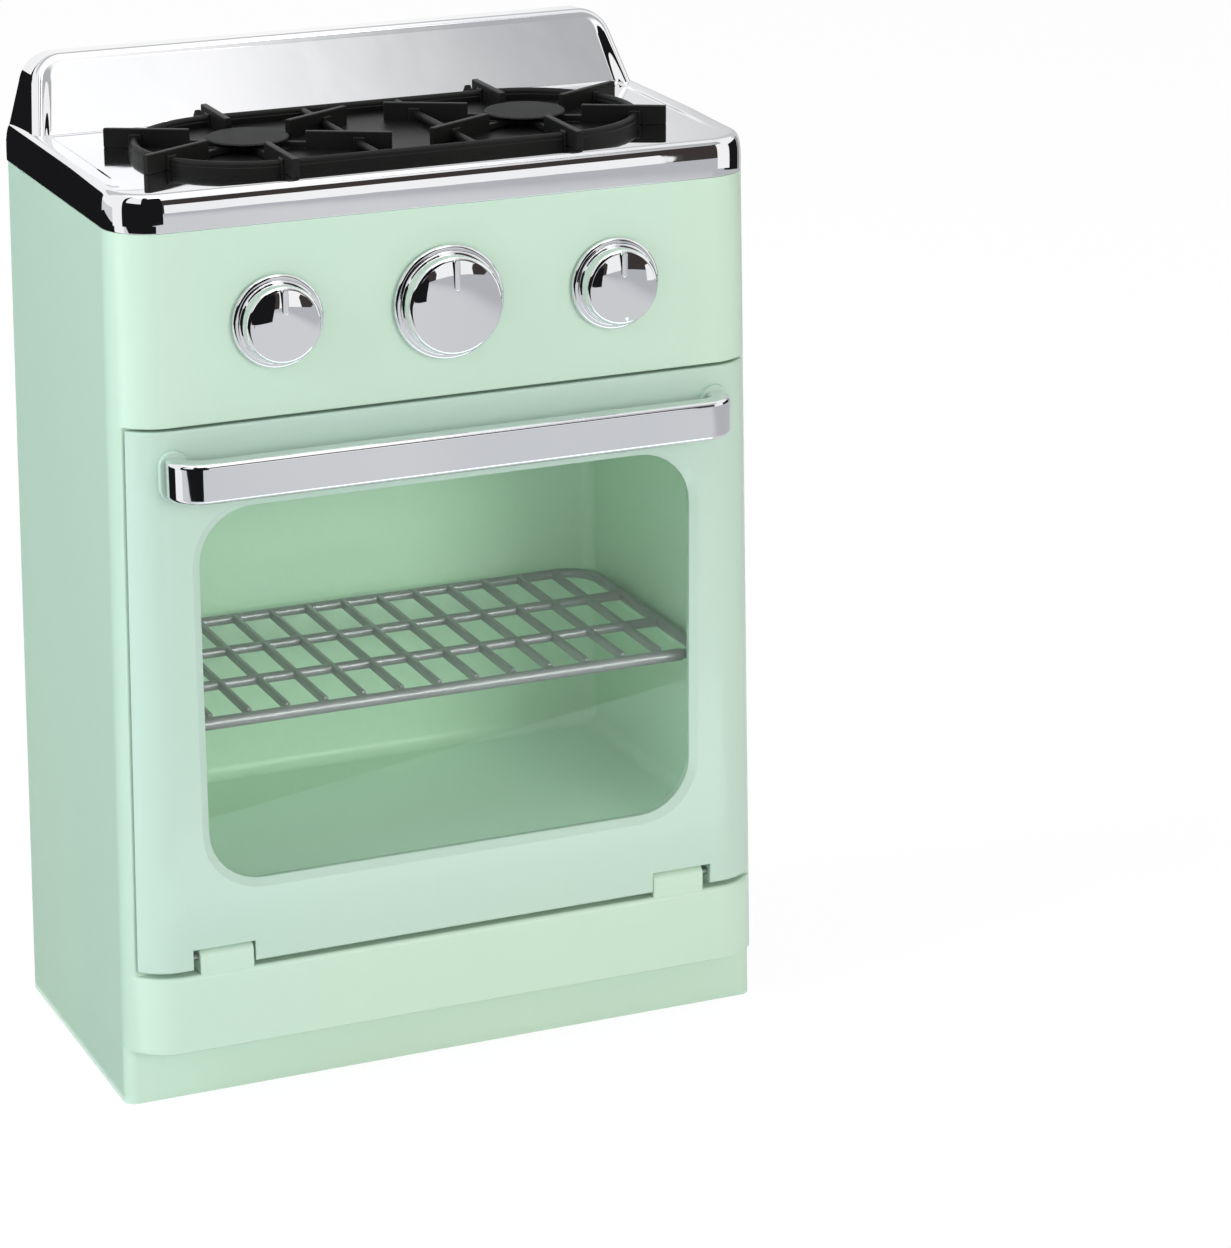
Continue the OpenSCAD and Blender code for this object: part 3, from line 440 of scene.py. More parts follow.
@dataclass
class CabinetShell(Piece):
    """Open-backed moulding with toe-kick, ledge, door bay, cavity opening and control panel.

    It is one loft of levels, whose numbers in the loft are bay_level and knob_level where openings are
    cut. Columns count from the rear corner; bay_column is where the door's bay starts, outside and in.
    """

    title = "cabinet_shell"
    bay_level = 11
    knob_level = 18
    bay_column = (7, 4)
    bore_reach = 3

    stance: Stance = Stance()
    wall: float = 2.2
    toe_height: float = 17.7
    toe_recess: float = 10.0
    toe_radius: float = 3.5
    ledge: float = 41.2
    ledge_radius: float = 1.4
    edge: float = 0.6
    panel: float = 203.8
    bay: float = 6.6
    cavity: Opening = CAVITY
    knob_z: float = 231.05
    knob_pitch: float = 50.3
    bore: float = 6.1
    bore_patch: float = 24.0
    knuckle_x: float = 70.7
    knuckle_w: float = 16.2
    knuckle_r: float = 2.7
    knuckle_edge: float = 0.4
    knuckle_sink: float = 1.0
    hinge_y: float = 3.1
    hinge_z: float = 46.0

    def plan(self, z: float, level: float, wall: float = 0.0, front: float = 0.0,
             radius: float | None = None, inset: float = 0.0, clip: float = -1.0) -> Array:
        """Plan of the outside or the inside, from the right rear round the front to the left rear.

        The corner is centre + (radius - wall - inset share) (cos a, sin a). The share grows over the first
        third of the arc past the door's bay, so that a fillet starts from nothing there.

        Args:
            z: Height of the points.
            level: Height whose width they take.
            wall: How far inside the outer face they lie.
            front: Where the front face is.
            radius: Radius of the front corner; the shell's own if it is left out.
            inset: How far a fillet draws the front in.
            clip: Nothing of the outside stands in front of this depth.

        Returns:
            Points in x, y, z.
        """
        own, rear, deep = self.stance.corner, self.stance.rear, self.stance.depth
        radius = own if radius is None else radius
        reach = self.stance.half(level)
        turn = -math.degrees(math.asin((own - self.bay - wall) / (own - wall)))
        angles = np.concatenate([np.linspace(0, turn, 4), np.linspace(turn, -90, 7 if wall else 8)[1:]])
        small = radius - wall - inset * np.clip((angles - turn) / (-90 - turn) * 3, 0, 1)
        corner = np.stack([reach - radius + small * np.cos(np.radians(angles)),
                           front + radius + small * np.sin(np.radians(angles))], axis=1)
        back = [[reach - wall, deep]] if wall else arc((reach - rear, deep - rear), rear, 90, 0, 3)
        flat = [[self.knob_pitch * step / 2, front + wall + inset] for step in (3, 2, 1, 0)]
        half = np.concatenate([back, corner, flat])
        full = np.concatenate([half, half[-2::-1] * MIRROR])
        full[:, 1] = np.maximum(full[:, 1], clip + wall)
        return lying(full, z)

    def level(self, z: float, inside: float, level: float, inset: float = 0.0, **how: float) -> Array:
        """Closed loop: the outside at a height, then the inside at its own, with the width of a level."""
        return np.concatenate([self.plan(z, z, inset=inset, **how),
                               self.plan(inside, level, self.wall, **how)[::-1]])

    def edge_levels(self, base: float) -> list[Array]:
        """Levels of the small rounded edge under a part of the front that starts at a height."""
        return [self.level(base + rise, base + self.wall, base, inset)
                for inset, rise in ease(self.edge, (0, 30, 60, 90))]

    def levels(self) -> list[Array]:
        """Levels from the floor up; shelves inside lie a wall's thickness from those outside.

        Returns:
            One closed loop for each level.
        """
        toe = {"front": self.toe_recess, "radius": self.toe_radius}
        low, wall, ledge = self.toe_height, self.wall, self.ledge
        middle = self.cavity.middle
        bay = ((ledge, ledge - wall), (middle, middle), (self.panel, self.panel + wall))
        knobs = [self.knob_z + part * self.bore_patch for part in (-1, 0, 1)]
        return [
            self.level(0, 0, 0, **toe), self.level(low, low + wall, low, **toe), *self.edge_levels(low),
            *[self.level(ledge - drop, ledge - wall - drop, ledge, inset)
              for drop, inset in ease(self.ledge_radius, (0, 22.5, 45, 67.5, 90))],
            *[self.level(z, inside, z, clip=self.bay) for z, inside in bay],
            *self.edge_levels(self.panel), *[self.level(z, z, z) for z in (*knobs, self.stance.height)]]

    def shape(self) -> None:
        """Loft of the levels, with the cavity's opening, the knobs' bores and the knuckles."""
        ids = self.form.place(np.stack(self.levels()))
        outside = len(self.plan(0, 0))
        columns = ids.shape[1]
        middles = (outside // 2, (outside + columns) // 2)
        reaches = (outside // 2 - self.bay_column[0], (columns - outside) // 2 - self.bay_column[1])
        bay, knobs = (slice(start, start + 2) for start in (self.bay_level, self.knob_level))
        keep = np.ones((len(ids) - 1, columns), bool)
        for middle, reach in zip(middles, reaches):
            keep[bay, middle - reach:middle + reach] = False
            keep[knobs, middle - self.bore_reach:middle + self.bore_reach] = False
        self.form.quads(ids, around=True, keep=keep)
        self.form.face(ids[0])
        self.form.face(ids[-1])
        rim = self.form.tube([self.cavity.loop(0, y) for y in (self.bay, self.bay + self.wall)])
        rows = ids[self.bay_level:self.bay_level + 3]
        for way, middle, reach, hole in zip((-1, 1), middles, reaches, rim):
            self.form.patch(ring_runs(rows, middle, reach, way), hole)
        rows = ids[self.knob_level:self.knob_level + 3]
        for spot in (-1, 0, 1):
            hole = circle((-spot * self.knob_pitch, self.knob_z), self.bore / 2)
            bore = self.form.tube([standing(hole, 0.0), standing(hole, self.wall)])
            for way, middle, mouth in zip((-1, 1), middles, bore):
                self.form.patch(ring_runs(rows, middle - 2 * way * spot, 1, way), mouth)
        for side in Side:
            self.knuckle(side)

    def knuckle(self, side: Side) -> None:
        """Half-round barrel on a foot: its outline, across the hinge, is carried along the hinge.

        Args:
            side: Which of the two.
        """
        top = arc((self.hinge_y, self.hinge_z), self.knuckle_r, 180, 0, 12)
        low, deep = self.ledge - self.knuckle_sink, self.bay + self.knuckle_sink
        foot = [[deep, self.hinge_z], [deep, low], [self.hinge_y - self.knuckle_r, low]]
        x, half = side.value * self.knuckle_x, self.knuckle_w / 2
        outline = np.concatenate([top, foot])[::-1]
        self.form.bar((x - half, 0, 0), (x + half, 0, 0), outline, self.knuckle_edge)


@dataclass
class DoorShell(Piece):
    """Drop-down door moulding: skin, rolled edges, hinge notches, pocket behind and window.

    It is one grid of columns across and rows up the front and down the back. Rows are numbered: 4 is the
    last of the lower edge, 5 to 7 span the window in front, 15 to 17 the pocket behind.
    """

    title = "door_moulding"
    crease = 40.0
    window_rows = (5, 6, 7)
    pocket_rows = (17, 16, 15)
    notch_row = 18
    front_rows = 12
    window_reach = 2
    pocket_reach = 6

    stance: Stance = Stance()
    thick: float = 5.8
    skin: float = 2.0
    rim: float = 9.0
    low: float = 42.8
    high: float = 203.0
    edge: float = 0.9
    heel: float = 2.6
    lip: float = 0.4
    notch_in: float = 62.2
    notch_out: float = 81.0
    notch_high: float = 49.2
    pocket_low: float = 52.0
    pocket_high: float = 200.8
    window: Opening = Opening(74.5, 67.7, 178.8, 16.0)
    bevel: float = 2.4
    bevel_depth: float = 1.3
    bevel_edge: float = 0.35
    pad_x: float = 81.5
    pad_z: float = 190.3
    pad_w: float = 8.4
    pad_h: float = 15.0
    pad_rise: float = 1.5
    pad_sink: float = 1.0
    pad_edge: float = 0.5

    def plan(self, z: Array) -> tuple[Array, Array]:
        """Columns of the door: x and the depth of its front there, at each height.

        The flat has fixed columns; past it, x = half-width - r + r cos a and depth = r + r sin a.

        Args:
            z: Heights.

        Returns:
            x, one row for each column and one entry for each height, and the depth of each column.
        """
        r = self.stance.corner
        pocket = -math.degrees(math.acos((r - self.rim) / r))
        last = -math.degrees(math.asin((r - self.thick + 0.3) / r))
        angles = np.radians(np.concatenate([np.linspace(-90, pocket, 4), np.linspace(pocket, last, 5)[1:]]))
        flat = np.broadcast_to(np.array([0.0, self.notch_in, self.notch_out])[:, None], (3, len(z)))
        right = np.concatenate([flat, self.stance.half(z) - r + r * np.cos(angles)[:, None]])
        depth = np.concatenate([np.zeros(3), r + r * np.sin(angles)])
        return np.concatenate([-right[:0:-1], right]), np.concatenate([depth[:0:-1], depth])

    def section(self) -> tuple[Array, Array]:
        """Outline of the door's section, up the front and down the back.

        Returns:
            Height of each row and its depth behind the front.
        """
        quarter = (0, 22.5, 45, 67.5, 90)
        edge, heel = np.array(ease(self.edge, quarter)), np.array(ease(self.heel, quarter))
        lip = np.array(ease(self.lip, (90, 45, 0)))
        middle = self.window.middle
        z = np.concatenate([
            self.low + edge[:, 1], [self.notch_high, middle], self.high - edge[:, 0], self.high - lip[:, 0],
            [self.pocket_high, middle, self.pocket_low, self.notch_high], self.low + heel[:, 0]])
        y = np.concatenate([edge[:, 0], [0.0, 0.0], edge[:, 1], self.thick - lip[:, 1], [self.thick] * 4,
                            self.thick - heel[:, 1]])
        return z, y

    def shape(self) -> None:
        """Closed grid of the door's skin, opened for window, pocket and notches, and the two pads."""
        z, y = self.section()
        x, depth = self.plan(z)
        face = np.minimum(depth[:, None] + y, self.thick)
        back = np.maximum(y, np.minimum(depth[:, None] + self.edge, self.thick))
        on_front = np.arange(len(z)) < self.front_rows
        skin = [x, np.where(on_front, face, back), np.broadcast_to(z, x.shape)]
        ids = self.form.place(np.stack(skin, axis=-1))
        mid, foot, top = len(depth) // 2, self.window_rows[0], self.notch_row
        keep = np.ones((len(depth) - 1, len(z)), bool)
        for reach, rows in ((self.window_reach, self.window_rows), (self.pocket_reach, self.pocket_rows)):
            keep[mid - reach:mid + reach, min(rows):max(rows)] = False
        for cell in (mid - 2, mid + 1):
            keep[cell, top:] = False
            keep[cell, :foot] = False
            for column in (cell, cell + 1):
                self.form.face([*ids[column, top:], *ids[column, :foot + 1]])
            self.form.face([ids[cell, foot], ids[cell + 1, foot], ids[cell + 1, top], ids[cell, top]])
        self.form.quads(ids, around=True, keep=keep)
        self.form.face(ids[0])
        self.form.face(ids[-1])
        self.cut_window(ids.T, mid)
        for side in Side:
            self.pad(side)

    def cut_window(self, ids: Array, mid: int) -> None:
        """Window's slanted bevel between two small rounded edges, and the pocket behind it.

        Args:
            ids: Point numbers of the door's grid, row by row.
            mid: Its middle column.
        """
        out, deep, r = self.bevel, self.bevel_depth, self.bevel_edge
        lean = math.degrees(math.atan2(deep, out))
        front = arc((out + r * math.tan(math.radians(lean / 2)), r), r, -90, -90 - lean, 3)
        edge = arc((r, deep + r * math.tan(math.radians(45 - lean / 2))), r, 270 - lean, 180, 4)
        loops = [self.window.loop(wide, y) for wide, y in np.concatenate([front, edge])]
        hole = self.form.tube([*loops, self.window.loop(0, self.skin)])
        self.form.patch(ring_runs(ids[list(self.window_rows)], mid, self.window_reach), hole[0])
        runs = ring_runs(ids[list(self.pocket_rows)], mid, self.pocket_reach)
        mouth = np.concatenate([run[:-1] for run in runs])
        floor = self.form.place(self.form.points(mouth) * [1, 0, 1] + [0, self.skin, 0])
        self.form.quads(np.stack([mouth, floor]), around=True)
        lengths = np.cumsum([0] + [len(run) - 1 for run in runs])
        closed = np.append(floor, floor[0])
        self.form.patch([closed[a:b + 1] for a, b in zip(lengths[:-1], lengths[1:])], hole[-1])

    def pad(self, side: Side) -> None:
        """Raised obround that a foot of the handle stands on, with an eased front edge."""
        tall = self.pad_h / 2
        self.form.stud((self.pad_w / 2, -tall, tall), (side.value * self.pad_x, self.pad_z),
                       (self.pad_sink, -self.pad_rise), self.pad_edge)


@dataclass
class WindowPane(Piece):
    """Clear sheet that lies behind the door's skin and laps over the opening."""

    title = "clear_pane"

    outline: Opening = Opening(78.5, 63.7, 182.8, 20.0)
    front: float = 2.0
    thick: float = 1.2
    edge: float = 0.15

    def shape(self) -> None:
        """One outline at four depths, drawn in by the edge's size at both faces."""
        edge, back = self.edge, self.front + self.thick
        steps = (edge, self.front), (0, self.front + edge), (0, back - edge), (edge, back)
        self.form.loft([self.outline.loop(-inset, y) for inset, y in steps])


@dataclass
class Handle(Piece):
    """Plated towel-bar handle: one upright rounded section carried round two bends."""

    title = "towel_bar_handle"
    crease = 50.0

    length: float = 169.0
    thick: float = 6.0
    tall: float = 11.7
    out: float = 12.5
    bend: float = 9.5
    edge: float = 1.5
    z: float = 190.3
    foot: float = -1.5

    def shape(self) -> None:
        """Bar along foot, bend, straight, bend and foot."""
        half = self.thick / 2
        middle = half - self.out
        centre = (self.length / 2 - self.bend, middle + self.bend - half)
        straight = np.stack([np.linspace(0, centre[0], 5)[:-1], np.full(4, middle)], axis=1)
        right = np.concatenate([straight, arc(centre, self.bend - half, -90, 0, 12),
                                [[self.length / 2 - half, self.foot]]])
        path = np.concatenate([right[:0:-1] * MIRROR, right])
        section = rounded_rect(half, -self.tall / 2, self.tall / 2, self.edge, 6)
        self.form.sweep(section, lying(path, self.z))


@dataclass
class Knob(Piece):
    """Turned plated knob: thin flange, cap with a rounded rim, domed face and raised pointer."""

    crease = 40.0

    title: str
    x: float
    diameter: float
    dome: float
    z: float = 231.05
    step: float = 1.9
    flange: float = 2.2
    gap: float = 0.3
    out: float = 7.2
    draft: float = 0.4
    rim: float = 1.3
    dome_power: float = 2.6
    pointer_w: float = 2.0
    pointer_share: float = 0.27
    pointer_rise: float = 0.2
    pointer_sink: float = 1.2
    pointer_edge: float = 0.4
    pointer_lap: float = 0.4
    shaft: float = 6.0
    shaft_end: float = 8.5
    shaft_edge: float = 0.3
    foot: float = 0.5
    facets: int = 96

    def profile(self) -> Array:
        """Radius and distance out of the panel, from the back of the shaft to the middle of the face.

        The flange's edge is half a circle, the cap leans in by its draft, and the face rises as
        dome (1 - (radius / face radius) to a power).

        Returns:
            Points of the profile.
        """
        r, shaft, edge, foot = self.diameter / 2, self.shaft / 2, self.shaft_edge, self.foot
        cap = r - self.step
        face = cap - self.draft
        half = (self.flange - self.gap) / 2
        back = [[0.0, -self.shaft_end], [shaft - edge, -self.shaft_end], [shaft, edge - self.shaft_end],
                [shaft, self.gap]]
        spread = np.linspace(1, 0, 12)
        rise = self.dome * (1 - spread ** self.dome_power)
        return np.concatenate([
            back, arc((r - half, self.gap + half), half, -90, 90, 12),
            arc((cap + foot, self.flange + foot), foot, 270, 180, 4),
            arc((face - self.rim, self.out - self.rim), self.rim, 4, 84, 9),
            np.stack([(face - self.rim) * spread, self.out + rise], axis=1)])

    def shape(self) -> None:
        """Profile turned about its axis, and the pointer: a ridge from the face's rim toward its middle."""
        self.form.revolve(self.profile(), np.array([self.x, 0, self.z]), np.array([0.0, -1.0, 0.0]),
                          self.facets)
        top = self.diameter / 2 - self.step - self.draft - self.rim * self.pointer_lap
        size = (self.pointer_w / 2, top - self.diameter * self.pointer_share, top)
        span = (self.pointer_sink - self.out, -(self.out + self.dome + self.pointer_rise))
        self.form.stud(size, (self.x, self.z), span, self.pointer_edge, 6)


@dataclass
class Cooktop(Piece):
    """Plated cap of the oven: bullnosed slab and a leaning backsplash with a rolled rim and a dish.

    Sizes of the rim and the dish are pairs: over the top, and at the sides.
    """

    title = "plated_cooktop"
    crease = 40.0
    side_steps = 8

    stance: Stance = Stance()
    tall: float = 10.7
    roll: float = 3.4
    roll_power: float = 3.3
    splash_base: float = 6.0
    skin: float = 2.0
    lip: float = 0.3
    rail_inset: float = 6.0
    rail_slope: float = 1.4
    rail_rise: float = 0.6
    rail_fade: Pair = (14.0, 45.0)
    splash_foot: float = 23.5
    lean: float = 32.0
    splash_high: float = 22.0
    splash_fall: float = 1.6
    taper: float = 4.6
    corner: float = 10.0
    rim: Pair = (2.0, 2.6)
    rim_deep: Pair = (2.0, 6.0)
    dish_start: Pair = (2.2, 2.7)
    dish_width: Pair = (1.6, 3.2)
    dish: Pair = (0.05, 2.3)
    sink: float = 8.0
    cove: float = 2.2
    overlap: float = 0.3
    seam: float = 0.01

    @property
    def top(self) -> float:
        """Height of the slab's top."""
        return self.stance.height + self.tall

    @property
    def slope_high(self) -> float:
        """Length of the backsplash's face, up its slope."""
        return self.splash_high / math.cos(math.radians(self.lean))

    @property
    def dish_top(self) -> float:
        """How far up the slope the dish's floor reaches."""
        return self.slope_high - self.dish_start[0] - self.dish_width[0]

    @property
    def centre_x(self) -> float:
        """How far across the centres of the backsplash's corners are."""
        return self.stance.width / 2 - self.taper - self.corner

    @property
    def foot_x(self) -> float:
        """How far across the foot of the backsplash reaches, just inside the slab's side."""
        return self.stance.width / 2 - 2 * self.seam

    def plan(self, inset: float, z: float, back: float = 0.0) -> Array:
        """Outline of the slab drawn in from its front and sides, from the middle of the back.

        Args:
            inset: How far the front, the sides and the round corners are drawn in.
            z: Height.
            back: How far the back is drawn in.

        Returns:
            A closed loop.
        """
        w, r, deep = self.stance.width / 2, self.stance.corner, self.stance.depth - back
        side = np.stack([np.full(14, w - inset), np.linspace(deep, r, 15)[:-1]], axis=1)
        front = np.stack([np.linspace(w - r, 0, 7)[1:], np.full(6, inset)], axis=1)
        half = np.concatenate([side, arc((w - r, r), r - inset, 0, -90, 16), front])
        return lying(np.concatenate([[[0.0, deep]], half, half[-2::-1] * MIRROR]), z)

    def rail(self, loop: Array, share: float) -> Array:
        """Lifts a loop along the slab's sides: rise x share x a smooth step in depth from the front.

        Args:
            loop: Points of the slab's outline.
            share: How much of the rise they take.

        Returns:
            The lifted loop.
        """
        near, full = self.rail_fade
        lift = smooth(np.clip((loop[:, 1] - near) / (full - near), 0, 1))
        at_side = np.abs(loop[:, 0]) > self.stance.width / 2 - self.stance.corner
        return loop + np.where(at_side, self.rail_rise * share * lift, 0)[:, None] * UP

    def slab(self) -> None:
        """Slab: its outline at each step of the lip, the bowed front and the low rails along the sides.

        The bow is a superellipse: (inset from the top's edge / roll)^p + (height / tall)^p = 1.
        """
        low, top, lip, power = self.stance.height, self.top, self.lip, 2 / self.roll_power
        loops = [self.plan(self.skin, top - self.skin, self.skin), self.plan(self.skin, low, self.skin),
                 self.plan(lip, low), self.plan(lip * 0.3, low + lip * 0.3), self.plan(0.0, low + lip)]
        for a in np.radians(np.linspace(5, 90, 24)):
            inset = self.roll * (1 - max(math.cos(a), 0.0) ** power)
            rise = (self.tall - lip) * math.sin(a) ** power
            loops.append(self.rail(self.plan(inset, low + lip + rise), math.sin(a)))
        for share in np.linspace(0, 1, 5):
            inset = self.rail_inset + self.rail_slope * share
            loops.append(self.rail(self.plan(inset, top), 1 - smooth(share)))
        self.form.loft(loops)

    def on_slope(self, x: Array, depth: Array, s: Array) -> Array:
        """Points on the backsplash, turned back by its lean.

        Args:
            x: How far across.
            depth: How far into its face.
            s: How far up its slope.

        Returns:
            Points in x, y, z.
        """
        a = math.radians(self.lean)
        foot = self.stance.depth - self.splash_foot
        return np.stack([x, foot + depth * math.cos(a) + s * math.sin(a),
                         self.top - depth * math.sin(a) + s * math.cos(a)], axis=-1)

    def outline(self) -> tuple[Array, Array]:
        """Outer edge of the face, foot to foot over the top, and the edge's outward directions.

        The side runs from the foot to the corner's arc and touches it, at the angle t where
        (foot - centre) . (cos t, sin t) = radius.

        Returns:
            Points across and up the slope, and unit directions outward, from right to left.
        """
        centre = np.array([self.centre_x, self.slope_high - self.corner])
        foot = np.array([self.foot_x, -self.sink])
        away = foot - centre
        start = math.degrees(math.atan2(away[1], away[0]) + math.acos(self.corner / np.hypot(*away)))
        turn = arc(centre, self.corner, start, 90, 16)
        way = (turn - centre) / self.corner
        side = foot + (turn[0] - foot) * np.linspace(0, 1, self.side_steps + 1)[:-1, None]
        top = np.stack([np.linspace(centre[0], 0, 5)[1:], np.full(4, self.slope_high)], axis=1)
        points = np.concatenate([side, turn, top])
        ways = np.concatenate([np.repeat(way[:1], len(side), axis=0), way, [[0.0, 1.0]] * len(top)])
        points, ways = (np.concatenate([run, run[-2::-1] * MIRROR]) for run in (points, ways))
        return points, ways

    def dish_depth(self, s: Array) -> Array:
        """Depth of the dish's floor, which lies deeper toward the foot and runs out under the top rim."""
        high, low = self.dish
        return np.maximum(low + (high - low) * s / self.dish_top, high)

    def rim_grid(self, points: Array, ways: Array) -> Array:
        """Rim and dish wall: a quarter ellipse, a flat, and a smooth step down to the dish's floor.

        Each size runs between its value over the top and its value at the sides as |way across| squared.

        Args:
            points: Outer edge, across and up the slope.
            ways: Outward directions there.

        Returns:
            Points across, into the face and up the slope: one row for each point of the edge.
        """
        share = ways[:, :1] ** 2
        sizes = (self.rim, self.rim_deep, self.dish_start, self.dish_width)
        rim, deep, start, width = (low + (high - low) * share for low, high in sizes)
        a, t = np.radians(np.linspace(0, 90, 11)), np.linspace(0, 1, 15)
        inset = np.concatenate([rim * (1 - np.cos(a)), start + width * t], axis=1)
        face = points[:, None] - ways[:, None] * inset[..., None]
        step = self.dish_depth(face[:, len(a):, 1]) * smooth(t)
        depth = np.concatenate([deep * (1 - np.sin(a)), step], axis=1)
        return self.on_slope(face[..., 0], depth, face[..., 1])

    def rear_edge(self, points: Array, ways: Array) -> Array:
        """Upright outline at the oven's back that matches the face's outer edge point for point.

        Args:
            points: Outer edge of the face, across and up the slope.
            ways: Outward directions there.

        Returns:
            Points in x, y, z.
        """
        middle, r, last = self.centre_x, self.corner, self.side_steps
        high = self.top + self.splash_high - self.splash_fall - r
        t = np.clip((points[:, 1] - points[0, 1]) / (points[last, 1] - points[0, 1]), 0, 1)
        foot = np.array([self.foot_x, self.stance.height + self.splash_base])
        side = foot + (np.array([middle, high]) + r * ways[last] - foot) * t[:, None]
        across_it = np.abs(points[:, 0])
        outer = np.where(t < 1, side[:, 0], middle + r * np.abs(ways[:, 0]))
        x = np.where(across_it <= middle, across_it, outer)
        z = np.where(t < 1, side[:, 1], high + r * ways[:, 1])
        return standing(np.stack([x * np.sign(points[:, 0]), z], axis=1), self.stance.depth - self.seam)

    def splash(self) -> None:
        """Backsplash: the rim carried round the outline, closed by the dish's floor and the back."""
        edge = self.outline()
        ids = self.form.place(np.concatenate([self.rear_edge(*edge)[:, None], self.rim_grid(*edge)], axis=1))
        self.form.quads(ids)
        for closing in (ids[:, -1], ids[:, 0], [*ids[0], *ids[-1, ::-1]]):
            self.form.face(closing)

    def foot_cove(self) -> None:
        """Small fillet between the dish's floor and the slab: an arc that touches both, carried across."""
        a, deep = math.radians(self.lean), self.dish[1]
        fall = (deep - self.dish[0]) / self.dish_top
        meet = deep * math.sin(a) / (math.cos(a) + fall * math.sin(a))
        corner = self.on_slope(np.array(0.0), self.dish_depth(np.array(meet)), np.array(meet))
        tilt = self.lean - math.degrees(math.atan(fall))
        reach = self.cove * math.tan(math.radians(90 - tilt) / 2)
        bend = arc((corner[1] - reach, self.top + self.cove), self.cove, -90, -tilt, 8)
        shape = np.concatenate([bend, [[corner[1] + self.overlap, self.top - self.overlap]]])
        half = self.stance.width / 2 - self.dish_start[1] - self.dish_width[1]
        self.form.loft([across(shape, x) for x in (-half, half)])

    def shape(self) -> None:
        """Slab, backsplash and fillet as one piece."""
        self.slab()
        self.splash()
        self.foot_cove()


@dataclass(frozen=True)
class Burners:
    """Where the two burners are on the cooktop."""

    x: float = 42.0
    y: float = 44.6
    base: float = 269.0

    def spot(self, side: Side) -> Array:
        """Middle of one burner on the slab."""
        return np.array([side.value * self.x, self.y, self.base])


